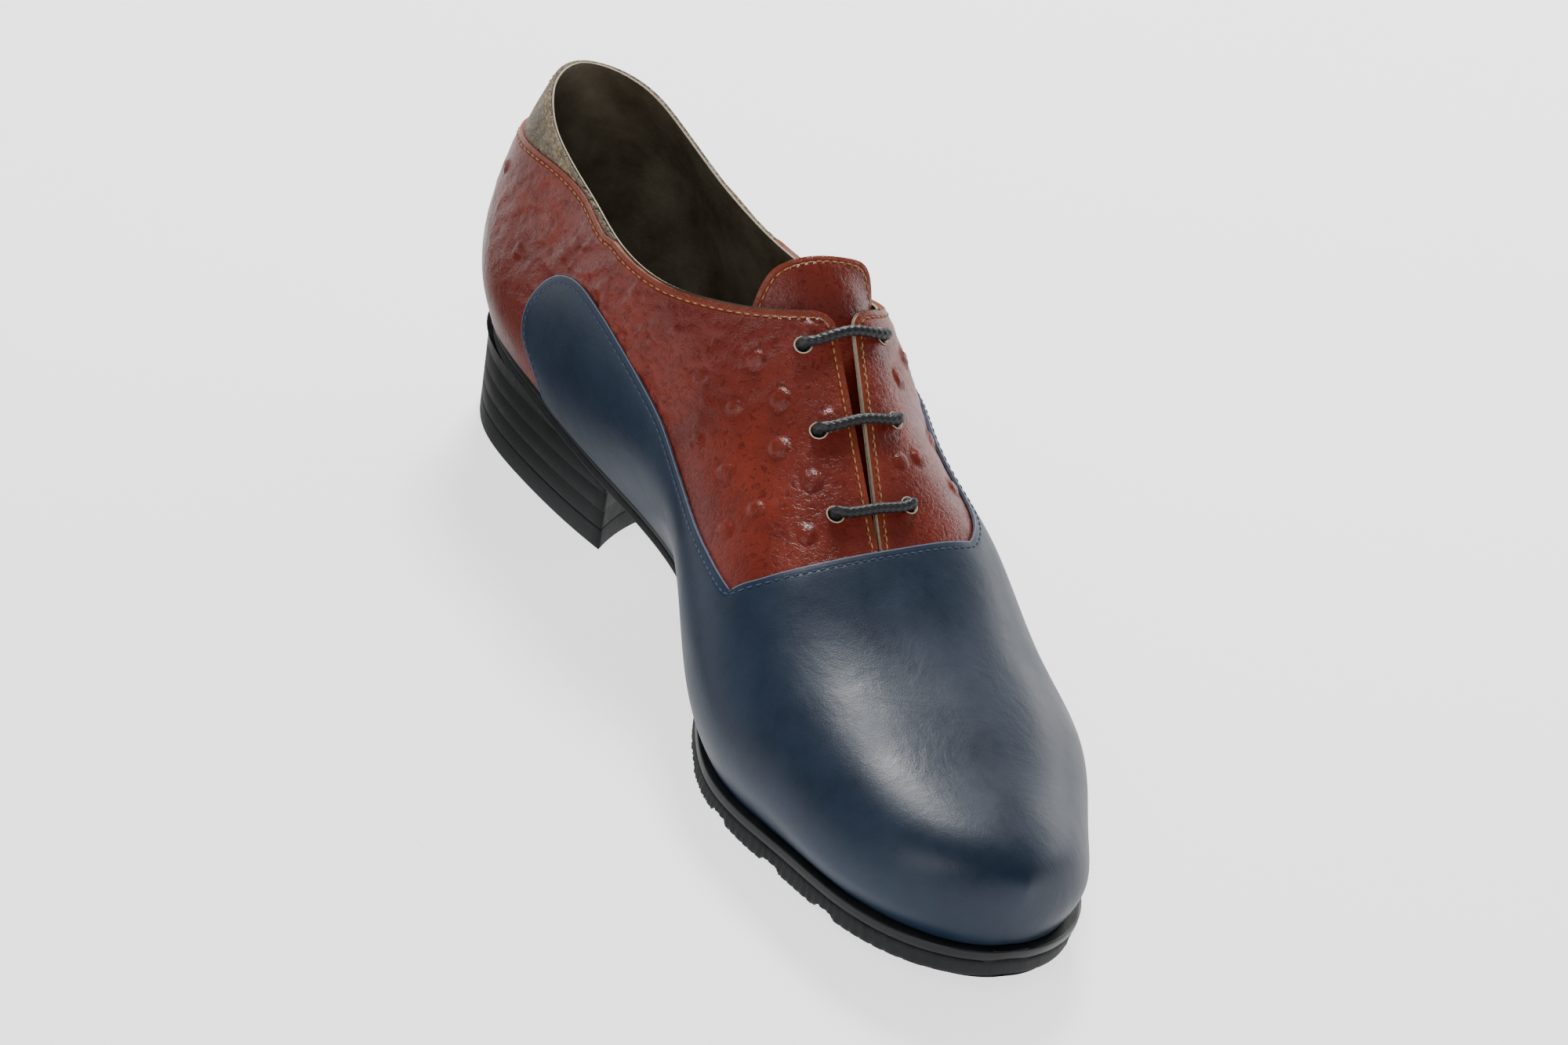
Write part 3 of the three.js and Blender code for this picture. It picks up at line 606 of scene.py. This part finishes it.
def quill_height(points):
    """Each quill is a round blister with a steep foot, a shallow moat and a small dimple."""
    rise = np.zeros(len(points))
    for centre, (_, _, size) in zip(quill_centres, QUILLS):
        away = np.linalg.norm(points - centre, axis=1) / (1.2 + 1.25 * size)
        dome = np.clip(1 - away**6, 0, 1)
        dimple, moat = np.exp(-((away / 0.35) ** 2)), np.exp(-(((away - 1.25) / 0.25) ** 2))
        rise += (0.40 + 0.55 * size) * (0.85 * dome - 0.20 * dimple - 0.16 * moat)
    return rise


def wrinkle_height(points):
    """Soft wrinkles where the heel stiffener ends, and faint ones everywhere else."""
    x, z = points[:, 0], points[:, 2]
    loose = np.exp(-(((x - 78) / 42) ** 2)) * np.exp(-(((z - 74) / 16) ** 2))
    places = [((px + pz) / 14, py / 9, (pz - px) / 8) for px, py, pz in points]
    drape = np.array([noise.turbulence(place, 3, True) for place in places])
    return (0.06 + 2.0 * loose) * (0.45 - drape)


def stitch_groove():
    """The furrow under a row of stitches: Height is 0 on the seam's distance from the edge."""
    group, given, out = new_group("stitch_groove", {"Edge": "Float", "Seam": "Float"},
                                  {"Height": "Float"})
    away = add(group, "Math", {0: given["Edge"], 1: given["Seam"]}, operation="SUBTRACT")
    away = add(group, "Math", {0: away.outputs[0]}, operation="ABSOLUTE")
    group.links.new(ramp(group, away.outputs[0], (0.0, 0.0), (0.6, 1.0)), out["Height"])
    return group


GROOVE = stitch_groove()


def use_groove(tree, seam):
    edge = add(tree, "Attribute", attribute_name="edge").outputs["Fac"]
    return edge, add(tree, "Group", {"Edge": edge, "Seam": seam}, node_tree=GROOVE).outputs["Height"]


red_leather, tree, shader = new_material("quarter_leather", Roughness=0.36, IOR=1.40)
place, height, tone = use_grain(tree, 1200.0, 700.0)
edge, groove = use_groove(tree, QUARTER_STITCH)
color = two_tone(tree, tone, (0.3, 0.7), (0.105, 0.0095, 0.005, 1), (0.235, 0.029, 0.014, 1))
cooler = ramp(tree, noise_at(tree, place, 24.0, 2.0), (0.4, 0.0), (0.7, 0.75))
color = mix_colors(tree, cooler, color, (0.16, 0.024, 0.018, 1))
# painted shade: the red is darker in the crease valleys and pores, where the grain's height is low
color = two_tone(tree, height, (0.10, 0.80), (0.115, 0.010, 0.005, 1), color)
burnish = map_range(tree, edge, (0.6, 3.4), (0.55, 0.0))
color = mix_colors(tree, burnish, color, (0.22, 0.040, 0.012, 1))
tree.links.new(map_range(tree, tone, (0.3, 0.7), (0.27, 0.38)), shader.inputs["Roughness"])
wave = noise_at(tree, place, 120.0, 3.0, Distortion=0.8)
dress(tree, shader, color, (height, 0.26, 0.0003), (wave, 0.12, 0.0005), (groove, 0.6, 0.0004))
red_edge = fibrous("quarter_cut_edge", 900.0, 3.0, (0.20, 0.035, 0.018, 1), (0.42, 0.14, 0.07, 1),
                   relief=(0.4, 0.0003), Roughness=0.6)

mesh = last_sheet(340, 230, 0.0, stations=(0, 0.66))
trim(mesh, lambda p: np.minimum(inside_facings(p), below_collar_seam(p)))
trim(mesh, lambda p: VAMP_OVERLAP - inside_vamp(p))
trim(mesh, lambda p: outside_eyelets(p, EYELET_RADIUS))
face_out(mesh)
cut_spots = open_edge(mesh, lambda p: np.abs(np.minimum(inside_facings(p), below_collar_seam(p))))
edge_layer = mark_distance(mesh, "edge", cut_spots)
mesh.normal_update()
spots = to_last([vert.co for vert in mesh.verts])
for vert, quill, wrinkle in zip(mesh.verts, quill_height(spots), wrinkle_height(spots)):
    lift = quill + wrinkle * min(1, vert[edge_layer] / 5)
    vert.co += vert.normal * (max(-0.25, lift) / 1000)
quarter_lines = level_lines(mesh, edge_layer, QUARTER_STITCH)
quarter_surface = BVHTree.FromBMesh(mesh)
for face in mesh.faces:
    here = to_last([face.calc_center_median()])
    outer = here[0, 1] > throat_side(here[0, 0]) and here[0, 0] > THROAT_TOP + 1
    if outer and beside_throat(here)[0] < 6 and inside_facings(here)[0] < 1.5:
        face.material_index = 2
quarters = finish_piece("quarters", mesh, (red_leather, red_edge, red_leather, raw_edge),
                        ("upper",))
give_wall(quarters, QUARTER_THICKNESS, 0.3, edge_slot=1)

# Punched lace holes: six round holes cut through the facings, with no metal in them.
# The raw cream edge of the hide shows as a thin ring round each hole.
RIM_START = 0.00238
RIM_PROFILE = ((0.00230, 0.00016), (0.00212, 0.00018), (0.00200, 0.00004), (0.00196, -0.0012))
mesh = bmesh.new()
for centre, out in EYELETS:
    turn = Vector((0, 0, 1)).rotation_difference(out).to_matrix().to_4x4()
    lies = Matrix.Translation(Vector(to_frame(centre)) + out * 0.0001) @ turn
    made = bmesh.ops.create_circle(mesh, segments=28, radius=RIM_START, matrix=lies)
    edges = list({edge for vert in made["verts"] for edge in vert.link_edges})
    for radius, height in RIM_PROFILE:
        made = bmesh.ops.extrude_edge_only(mesh, edges=edges)
        edges = [item for item in made["geom"] if isinstance(item, bmesh.types.BMEdge)]
        for vert in {vert for edge in edges for vert in edge.verts}:
            local = lies.inverted() @ vert.co
            flat = Vector((local.x, local.y, 0)).normalized() * radius
            vert.co = lies @ Vector((flat.x, flat.y, height))
bmesh.ops.recalc_face_normals(mesh, faces=mesh.faces)
finish_piece("eyelet_rims", mesh, (raw_edge,))

# Heel collar: crinkled olive leather above the red, folded over the top and edge-stitched.
# It lies one skin deeper than the quarters, so their cut seam stands proud of it.
COLLAR_DEPTH, COLLAR_THICKNESS, COLLAR_STITCH = 0.75, 0.85, 1.3
collar_leather, tree, shader = new_material("collar_leather", Roughness=0.55)
_, height, tone = use_grain(tree, 700.0, 420.0)
color = two_tone(tree, tone, (0.32, 0.66), (0.13, 0.097, 0.062, 1), (0.41, 0.33, 0.235, 1))
dress(tree, shader, color, (height, 1.0, 0.0009))

mesh = last_sheet(160, 230, -COLLAR_DEPTH, stations=(0, 0.36))
trim(mesh, lambda p: np.minimum(below_topline(p), -below_collar_seam(p)))
face_out(mesh)
collar_spots = open_edge(mesh, lambda p: np.abs(below_topline(p)))
collar_layer = mark_distance(mesh, "edge", collar_spots)
collar_lines = level_lines(mesh, collar_layer, COLLAR_STITCH)
collar_surface = BVHTree.FromBMesh(mesh)
collar = finish_piece("collar_band", mesh, (collar_leather,), ("heel_collar",))
give_wall(collar, COLLAR_THICKNESS, 0.3)

# Vamp and wings: smooth navy calf over the toe and both flanks, lasted tight over the quarters.
# Its cut edge is skived and painted a paler blue.
VAMP_LIFT, VAMP_THICKNESS, VAMP_STITCH, SKIVE_DROP, SKIVE_WIDTH = 1.5, 0.75, 1.9, 0.0006, 3
navy_leather, tree, shader = new_material("vamp_leather", Roughness=0.40, IOR=1.38)
place, height, tone = use_grain(tree, 1300.0, 60.0)
edge, groove = use_groove(tree, VAMP_STITCH)
color = two_tone(tree, tone, (0.3, 0.7), (0.0085, 0.0175, 0.036, 1), (0.0175, 0.031, 0.058, 1))
paint = map_range(tree, edge, (0.1, 0.4), (0.9, 0.0))
color = mix_colors(tree, paint, color, (0.17, 0.22, 0.32, 1))
tree.links.new(map_range(tree, tone, (0.3, 0.7), (0.34, 0.46)), shader.inputs["Roughness"])
flex = noise_at(tree, place, 42.0, 5.0, Roughness=0.62, Distortion=0.5)
dress(tree, shader, color, (height, 0.12, 0.0002), (flex, 0.16, 0.0016), (groove, 0.2, 0.0003))
blue_edge = fibrous("painted_edge", 700.0, 2.0, (0.05, 0.07, 0.11, 1), (0.17, 0.21, 0.28, 1),
                    Roughness=0.5)

mesh = last_sheet(310, 196, VAMP_LIFT, stations=(0.2, 1))
trim(mesh, inside_vamp)
face_out(mesh)
vamp_spots = open_edge(mesh, lambda p: np.abs(inside_vamp(p)))
vamp_layer = mark_distance(mesh, "edge", vamp_spots)
mesh.normal_update()
for vert in mesh.verts:
    vert.co -= vert.normal * SKIVE_DROP * math.exp(-vert[vamp_layer] / SKIVE_WIDTH)
vamp_lines = level_lines(mesh, vamp_layer, VAMP_STITCH)
vamp_surface = BVHTree.FromBMesh(mesh)
vamp = finish_piece("vamp_and_wings", mesh, (navy_leather, blue_edge), ("vamp",))
give_wall(vamp, VAMP_THICKNESS, 0.2, edge_slot=1)

# Tongue: a thin red flap sewn in below the throat, of the same leather as the quarters.
# It lies under the facings, and its free top is rounded and stitched near the edge.
TONGUE_TOP, TONGUE_BOTTOM, TONGUE_HALF, TONGUE_CORNER, TONGUE_THICKNESS = 108, 172, 18, 7, 1.7
UPPER_WALL, TONGUE_GAP, TONGUE_SINK, TONGUE_RISE = 2.2, 1.5, 2.8, 2.6


def smooth_step(t):
    t = min(1, max(0, t))
    return t * t * (3 - 2 * t)


def tongue_points(along, across):
    """Along from the free top 0 to the sewn bottom 1, across from -1 to 1."""
    points = []
    for u, v in zip(along, across):
        x = TONGUE_TOP + (TONGUE_BOTTOM - TONGUE_TOP) * u**1.5
        middle = throat_side(x) - 3
        corner = max(0, 1 - (x - TONGUE_TOP) / TONGUE_CORNER)
        half = TONGUE_HALF - TONGUE_CORNER + TONGUE_CORNER * math.sqrt(1 - corner * corner)
        y = middle + half * v
        here, out = surface_frame(x, y)
        outward = ((y - middle) / TONGUE_HALF) ** 2
        early, soon, arch = (6, 8, 6.5) if v < 0 else (0, 3.5, 3.0)
        start, stop = TONGUE_TOP - early * outward, TONGUE_TOP + 10 - soon * outward
        free = 1 - smooth_step((x - start) / (stop - start))
        depth = UPPER_WALL + TONGUE_GAP + TONGUE_SINK * smooth_step((x - FIRST_EYELET + 14) / 9)
        crest = face_above(x, throat_side(x)) - TONGUE_RISE
        low = here.z - depth / out.z
        points.append((x, y, low + (crest - arch * outward - low) * free))
    return np.array(points)


mesh = bmesh.new()
bmesh.ops.create_grid(mesh, x_segments=56, y_segments=36, size=1)
flat = np.array([vert.co[:2] for vert in mesh.verts])
move_verts(mesh, tongue_points((flat[:, 0] + 1) / 2, flat[:, 1]))
bmesh.ops.recalc_face_normals(mesh, faces=mesh.faces)
if sum(face.normal.z for face in mesh.faces) < 0:
    bmesh.ops.reverse_faces(mesh, faces=mesh.faces)
tongue_spots = open_edge(mesh, lambda p: np.where(p[:, 0] < 150, 0, 1))
tongue_layer = mark_distance(mesh, "edge", tongue_spots)
tongue_lines = level_lines(mesh, tongue_layer, QUARTER_STITCH)
tongue_surface = BVHTree.FromBMesh(mesh)
tongue = finish_piece("tongue_flap", mesh, (red_leather, red_edge), ("tongue",))
give_wall(tongue, TONGUE_THICKNESS, 0.3, edge_slot=1)

# Stitches: short lengths of twisted thread, half sunk into the leather along each edge.
# Tan thread on the red leather, gold on the collar's top, blue on the vamp.
STITCH = {"pitch": 2.3, "length": 1.8, "radius": 0.22, "sink": 0.42}


def thread(name, dark, light):
    return fibrous(name, 1800.0, 2.0, dark, light, relief=(0.5, 0.0002),
                   Roughness=0.8, Specular_IOR_Level=0.25)


tan_thread = thread("tan_thread", (0.28, 0.12, 0.04, 1), (0.58, 0.33, 0.14, 1))
gold_thread = thread("gold_thread", (0.28, 0.18, 0.06, 1), (0.56, 0.42, 0.20, 1))
blue_thread = thread("blue_thread", (0.035, 0.06, 0.115, 1), (0.085, 0.13, 0.22, 1))
for name, material, slot, rows in (
    ("quarter_stitches", tan_thread, "quarter_leather",
     ((quarter_surface, quarter_lines), (tongue_surface, tongue_lines))),
    ("collar_stitches", gold_thread, "collar_leather", ((collar_surface, collar_lines),)),
    ("vamp_stitches", blue_thread, "vamp_leather", ((vamp_surface, vamp_lines),)),
):
    mesh = bmesh.new()
    for surface, lines in rows:
        for line in lines:
            sew(mesh, surface, line, **STITCH)
    finish_piece(name, mesh, (material,))

# Lace: one round braided cord, waxed black, in three bars through the six holes.
# Between the bars it runs behind the facings, and it ends inside, behind the last holes.
LACE_RADIUS, BRAID_PITCH = 1.4, 3.4


def lace_route():
    over, under = LACE_RADIUS + 0.4, -(UPPER_WALL + 0.3 + LACE_RADIUS)
    points, order = [], ((4, 5), (3, 2), (0, 1))

    def at(i, lift):
        centre, out = EYELETS[i]
        return centre + out * lift

    for row, (first, last) in enumerate(order):
        if row > 0:
            middle = EYELETS[first][0].lerp(EYELETS[order[row - 1][1]][0], 0.5)
            here, out = surface_frame(middle.x, middle.y)
            points.append(here + out * under)
        points += [at(first, under), at(first, -1.1), at(first, over - 0.2)]
        for t in (0.14, 0.5, 0.86):
            middle = at(first, over).lerp(at(last, over), t)
            here, out = surface_frame(middle.x, middle.y)
            points.append(here + out * over)
        points += [at(last, over - 0.2), at(last, -1.1), at(last, under)]
    return smooth_curve(np.array([tuple(point) for point in points]), step=0.35)


def sweep(path, sides, radius_at):
    """A round cord along a path: its surface can swell with place along and round it."""
    mesh = bmesh.new()
    mesh.loops.layers.uv.new("along")
    bmesh.ops.create_grid(mesh, x_segments=len(path) - 1, y_segments=sides, size=1, calc_uvs=True)
    length = lengths_along(path)
    tangent = np.gradient(path, axis=0)
    tangent /= np.linalg.norm(tangent, axis=1)[:, None]
    normal = np.zeros_like(path)
    normal[0] = np.cross(tangent[0], [0.3, 0.9, 0.1])
    for i in range(1, len(path)):
        normal[i] = normal[i - 1] - tangent[i] * (normal[i - 1] @ tangent[i])
        normal[i] /= np.linalg.norm(normal[i])
    binormal = np.cross(tangent, normal)
    flat = np.array([vert.co[:2] for vert in mesh.verts])
    i = np.rint((flat[:, 0] + 1) / 2 * (len(path) - 1)).astype(int)
    angle = (flat[:, 1] + 1) * math.pi
    out = normal[i] * np.cos(angle)[:, None] + binormal[i] * np.sin(angle)[:, None]
    move_verts(mesh, path[i] + out * radius_at(length[i], angle)[:, None])
    bmesh.ops.remove_doubles(mesh, verts=mesh.verts, dist=1e-7)
    bmesh.ops.holes_fill(mesh, edges=mesh.edges, sides=0)
    bmesh.ops.recalc_face_normals(mesh, faces=mesh.faces)
    return mesh


def braided(length, angle):
    turn = 2 * math.pi * length / BRAID_PITCH
    strands = np.maximum(np.cos(4 * angle + 2 * turn), np.cos(4 * angle - 2 * turn))
    return LACE_RADIUS * (0.88 + 0.12 * strands)


lace_cord = fibrous("lace_cord", 500.0, 3.0, (0.006, 0.007, 0.008, 1), (0.022, 0.024, 0.027, 1),
                    relief=(0.4, 0.0002), Roughness=0.48)
mesh = sweep(lace_route(), 24, braided)
finish_piece("lace_bars", mesh, (lace_cord,), ("lace",))

# Midsole and welt: a glossy black rubber layer whose edge stands out as a narrow ledge.
# It follows the feather edge, and a layer is a closed band swept from heel to toe.
WELT_WIDTH, MIDSOLE_THICKNESS, SEAT_SOLE, CEMENT_LAP = 2.2, 2.6, 2.5, 0.3


def sole_layer(rows, profile, grow, top_of, bottom_of, ripple=None):
    """A layer of the sole: profile rows are side, outward in millimetres, and height 0 to 1."""
    mesh = bmesh.new()
    profile = np.array(profile + profile[:1], float)
    bmesh.ops.create_grid(mesh, x_segments=rows, y_segments=len(profile) - 1, size=1)
    flat = np.array([vert.co[:2] for vert in mesh.verts])
    station = (flat[:, 0] + 1) / 2
    side, outward, up = profile[np.rint((flat[:, 1] + 1) / 2 * (len(profile) - 1)).astype(int)].T
    size = lengths_at(station)
    growth = grow(size) + outward
    fade = end_fade(station)
    x = -growth + share_at(station) * (LAST_LENGTH + 2 * growth)
    x += back_lean(station, np.full(len(station), float(SEAT_HEIGHT)))
    medial = np.maximum(0, size["footMedial"] * BALL_HALF + growth * fade)
    lateral = np.maximum(0, size["footLateral"] * BALL_HALF + growth * fade)
    y = size["swing"] * BALL_HALF + np.where(side < 0, side * medial, side * lateral)
    top, bottom = top_of(size), bottom_of(size)
    z = bottom + (top - bottom) * up
    points = np.stack([x, y, z], axis=1)
    if ripple is not None:
        points = ripple(points, up, side)
    move_verts(mesh, points)
    bmesh.ops.remove_doubles(mesh, verts=mesh.verts, dist=1e-6)
    bmesh.ops.dissolve_degenerate(mesh, dist=1e-6, edges=mesh.edges)
    bmesh.ops.recalc_face_normals(mesh, faces=mesh.faces)
    return mesh


def welt_out(size):
    return size["welt"] * WELT_WIDTH + np.clip(size["welt"], 0, 1) * 1.5


def midsole_top(size):
    return feather_height(size) - CEMENT_LAP


def midsole_bottom(size):
    return midsole_top(size) - MIDSOLE_THICKNESS


def outsole_bottom(size):
    raised = np.clip(size["lift"] * 3, 0, 1)
    tread = SOLE_HEIGHT - MIDSOLE_THICKNESS - 0.6 + 0.5
    return np.maximum(0, midsole_bottom(size) - CEMENT_LAP - (tread + (SEAT_SOLE - tread) * raised))


def layer_profile(edge, above, below):
    """Over the top, down the lateral edge, back underneath and up the medial edge."""
    top = [(side, 0.0, 1.0) for side in np.linspace(-1, 1, above)[1:-1]]
    bottom = [(-side, 0.0, 0.0) for side in np.linspace(-1, 1, below)[1:-1]]
    lateral = [(1, outward, up) for outward, up in edge]
    medial = [(-1, outward, up) for outward, up in reversed(edge)]
    return top + lateral + bottom + medial


def rubber(name, dark, light, roughness, relief):
    material, tree, shader = new_material(name, Roughness=roughness, Specular_IOR_Level=0.3)
    place = add(tree, "TexCoord").outputs["Object"]
    dust = noise_at(tree, place, 90.0, 8.0, Roughness=0.7)
    worn = map_range(tree, dust, (0.35, 0.7), (roughness - 0.06, roughness + 0.14))
    tree.links.new(worn, shader.inputs["Roughness"])
    fine = noise_at(tree, place, 1500.0, 3.0)
    dress(tree, shader, two_tone(tree, dust, (0.4, 0.75), dark, light), (fine, relief, 0.0003))
    return material


welt_rubber = rubber("welt_rubber", (0.010, 0.011, 0.012, 1), (0.020, 0.021, 0.023, 1), 0.34, 0.15)
welt_edge = [(-0.5, 1.0), (-0.12, 0.96), (0.0, 0.84), (0.0, 0.30), (-0.25, 0.12), (-0.6, 0.0)]
mesh = sole_layer(300, layer_profile(welt_edge, 9, 9), welt_out, midsole_top,
                  lambda size: midsole_bottom(size) - 0.25)
finish_piece("welt_layer", mesh, (welt_rubber,), ("midsole",))

# Outsole: thin black rubber tread, moulded in one piece and cemented under the midsole.
# Shallow slanted grooves cross its forepart, and its rim has fine teeth.
GROOVES, GROOVE_WIDTH, GROOVE_DEPTH, GROOVE_SLANT = (171, 193, 215, 237), 7.0, 1.3, 0.25
TOOTH, TOOTH_DEPTH, TOOTH_START = 2.4, 0.16, 150


def tread_form(points, up, side):
    x, y = points[:, 0], points[:, 1]
    across = x + y * math.tan(GROOVE_SLANT)
    depth = np.zeros(len(points))
    for centre in GROOVES:
        inside = GROOVE_WIDTH / 2 - np.abs((across - centre) * math.cos(GROOVE_SLANT))
        depth = np.maximum(depth, np.clip(inside / 0.6, 0, 1) * GROOVE_DEPTH)
    points[:, 2] += np.where(up < 0.35, depth * (1 - up / 0.35), 0)
    teeth = TOOTH_DEPTH * np.sign(np.sin(2 * math.pi * (x + 0.6 * np.abs(y)) / TOOTH))
    teeth *= np.sign(side) * np.clip((x - TOOTH_START) / 20, 0, 1)
    points[:, 1] += np.where((np.abs(side) > 0.99) & (up < 0.8), teeth, 0)
    return points


tread_rubber = rubber("tread_rubber", (0.008, 0.009, 0.010, 1), (0.024, 0.025, 0.027, 1), 0.62, 0.5)
tread_edge = [(-0.7, 1.0), (-0.1, 0.86), (0.0, 0.7), (0.0, 0.3), (-0.2, 0.08), (-0.6, 0.0)]
mesh = sole_layer(520, layer_profile(tread_edge, 7, 17), lambda size: welt_out(size) - 0.4,
                  lambda size: midsole_bottom(size) - CEMENT_LAP, outsole_bottom, tread_form)
finish_piece("tread", mesh, (tread_rubber,), ("outsole",))

# Heel: a stacked rubber block with a nearly flat breast, fixed under the seat of the sole.
# Three seams part its layers, and a separate top piece lies under it.
TOP_PIECE, HEEL_INSET, HEEL_UNDERCUT, HEEL_SEAMS = 6, 2, 5.5, (11.5, 17.0, 22.5)
BREAST_MEDIAL, BREAST_LATERAL, BREAST_HOLLOW = 84, 66, 3


def heel_ring(z):
    """The block's outline at a height: back wall by station, then the slightly hollow breast."""
    level = np.clip(1 - z / SEAT_HEIGHT, 0, 1)

    def wall(stations, name, side, inset):
        size = lengths_at(stations)
        half = np.maximum(0, size[name] * BALL_HALF - inset * end_fade(stations))
        x = -1 + share_at(stations) * (LAST_LENGTH + 2)
        return np.stack([x, size["swing"] * BALL_HALF + side * half], axis=1)

    ends = station_at(np.array([BREAST_MEDIAL, BREAST_LATERAL]) / LAST_LENGTH)
    undercut = level * HEEL_UNDERCUT
    medial = wall(np.linspace(ends[0], 0, 41)[:-1], "footMedial", -1, HEEL_INSET + undercut)
    lateral = wall(np.linspace(0, ends[1], 41), "footLateral", 1, HEEL_INSET + undercut / 2)
    t = np.linspace(0, 1, 26)[1:-1, None]
    hollow = BREAST_HOLLOW * 4 * t * (1 - t)
    breast = lateral[-1] + (medial[0] - lateral[-1]) * t - np.hstack([hollow, 0.3 * hollow])
    return np.vstack([medial, lateral, breast])


def heel_body(levels, top_of=None):
    """Rings stacked through heights and insets; top_of gives the seat's height over the block."""
    mesh = bmesh.new()
    edges = None
    for z, inset in levels:
        ring = heel_ring(z)
        centre = ring.mean(axis=0)
        away = ring - centre
        ring = centre + away * (1 - inset / np.linalg.norm(away, axis=1))[:, None]
        height = np.full(len(ring), float(z))
        if top_of is not None:
            height = np.minimum(height, top_of(ring[:, 0]))
        points = to_frame(np.column_stack([ring, height]))
        if edges is None:
            made = bmesh.ops.create_circle(mesh, segments=len(ring), radius=1)
            verts = made["verts"]
            edges = list(mesh.edges)
        else:
            made = bmesh.ops.extrude_edge_only(mesh, edges=edges)
            edges = [item for item in made["geom"] if isinstance(item, bmesh.types.BMEdge)]
            linked = {edge.other_vert(vert): vert for vert in verts for edge in vert.link_edges}
            verts = sorted((item for item in made["geom"] if isinstance(item, bmesh.types.BMVert)),
                           key=lambda vert: verts.index(linked[vert]))
        for vert, point in zip(verts, points):
            vert.co = point
    bmesh.ops.holes_fill(mesh, edges=mesh.edges, sides=0)
    bmesh.ops.remove_doubles(mesh, verts=mesh.verts, dist=1e-6)
    bmesh.ops.dissolve_degenerate(mesh, dist=1e-6, edges=mesh.edges)
    bmesh.ops.recalc_face_normals(mesh, faces=mesh.faces)
    return mesh


def seat_under(x):
    return outsole_bottom(lengths_at(station_at(x / LAST_LENGTH))) - 0.15


heel_rubber = rubber("heel_rubber", (0.006, 0.007, 0.008, 1), (0.016, 0.017, 0.018, 1), 0.56, 0.3)
levels = [(TOP_PIECE + 0.15, 0.5), (TOP_PIECE + 0.35, 0.1), (TOP_PIECE + 0.8, 0.0)]
for seam in HEEL_SEAMS:
    levels += [(seam - 0.5, 0.0), (seam - 0.12, 0.22), (seam + 0.12, 0.22), (seam + 0.5, 0.0)]
levels += [(28.0, 0.0), (34.0, 0.0)]
mesh = heel_body(levels, seat_under)
finish_piece("heel_stack", mesh, (heel_rubber,), ("heel_block",))
mesh = heel_body([(0.0, 0.6), (0.15, 0.15), (0.5, 0.0), (TOP_PIECE - 0.5, 0.0),
                  (TOP_PIECE - 0.15, 0.12), (TOP_PIECE, 0.45)])
finish_piece("heel_top_piece", mesh, (tread_rubber,), ("top_piece",))

# Insole: a sock of lining leather glued on the board, in the dark of the shoe.
# The solid model's own insole is shown, with that leather on it.
for slot in bpy.data.objects["insole"].material_slots:
    slot.material = lining_leather

# Stage, light and camera: a sheet of paper, three softboxes and the photograph's angle.
# The paper glows with light of its own: pale to the camera and a dimmer glow in reflections,
# with a painted dark patch beside the inner heel, so the glossy leather stays dark towards the floor.
paper, tree, shader = new_material("paper", Roughness=0.9, Emission_Strength=1.5)
seen = add(tree, "LightPath").outputs["Is Camera Ray"]
place = add(tree, "TexCoord").outputs["Object"]
place = add(tree, "Mapping", {"Vector": place, "Location": (0.94, 0.96, 0), "Scale": (6.7, 8.3, 1.0)})
shade = add(tree, "TexGradient", {"Vector": place.outputs[0]}, gradient_type="SPHERICAL").outputs["Fac"]
# painted reflection: the dimmer glow the leather mirrors, darkest in a patch beside the inner heel
painted_reflection = ramp(tree, shade, (0.10, 0.60), (0.35, 0.04))
tree.links.new(mix_colors(tree, seen, painted_reflection, (0.88, 0.88, 0.88, 1)), shader.inputs["Base Color"])
tree.links.new(mix_colors(tree, seen, painted_reflection, (1, 1, 1, 1)), shader.inputs["Emission Color"])
mesh = bmesh.new()
bmesh.ops.create_grid(mesh, x_segments=1, y_segments=1, size=6)
as_object("floor", mesh, (paper,))

world = bpy.data.worlds.new("studio")
world.use_nodes = True
tree = world.node_tree
direction = add(tree, "SeparateXYZ", {"Vector": add(tree, "TexCoord").outputs["Generated"]})
sky = ramp(tree, direction.outputs["Z"], (0.0, 1.1), (0.20, 0.95), (0.40, 0.16), (1.0, 0.20))
tree.links.new(sky, tree.nodes["Background"].inputs["Color"])
scene.world = world


def softbox(name, place, aim, size, power):
    light = bpy.data.lights.new(name, "AREA")
    light.shape = "RECTANGLE"
    light.size, light.size_y = size
    light.energy = power
    lamp = bpy.data.objects.new(name, light)
    lamp.location = place
    lamp.rotation_euler = (Vector(aim) - Vector(place)).to_track_quat("-Z", "Y").to_euler()
    scene.collection.objects.link(lamp)


softbox("back_softbox", (-0.70, 0.30, 1.02), (0.02, 0.0, 0.04), (0.34, 0.34), 16)
softbox("outer_softbox", (-0.28, 0.95, 0.36), (0.02, 0.0, 0.05), (0.75, 0.40), 2.9)
softbox("front_fill", (0.75, -0.9, 0.9), (0.0, 0.0, 0.05), (0.8, 0.8), 7)

# The camera fitted to the photograph, turned to the shoe, which stands off its middle by SHOE_PIXEL
PHOTO_WIDTH, FOCAL, SHOE_PIXEL, SENSOR = 2000, 6270, (340, 24), 36
place = Vector(to_frame([1002.85, -646.24, 603.23]))
right = Vector((0.42857, 0.87204, 0.23637))
down = Vector((0.52553, -0.02780, -0.85032))
ahead = Vector((-0.73494, 0.48864, -0.47020))
look = (ahead + right * (SHOE_PIXEL[0] / FOCAL) + down * (SHOE_PIXEL[1] / FOCAL)).normalized()
side = (right - look * right.dot(look)).normalized()
up = side.cross(look).normalized()
camera_data = bpy.data.cameras.new("camera")
camera_data.sensor_width = SENSOR
camera_data.lens = SENSOR * FOCAL / PHOTO_WIDTH
camera_data.clip_end = 20
camera = bpy.data.objects.new("camera", camera_data)
camera.matrix_world = Matrix.Translation(place) @ Matrix((side, up, -look)).transposed().to_4x4()
scene.collection.objects.link(camera)
scene.camera = camera
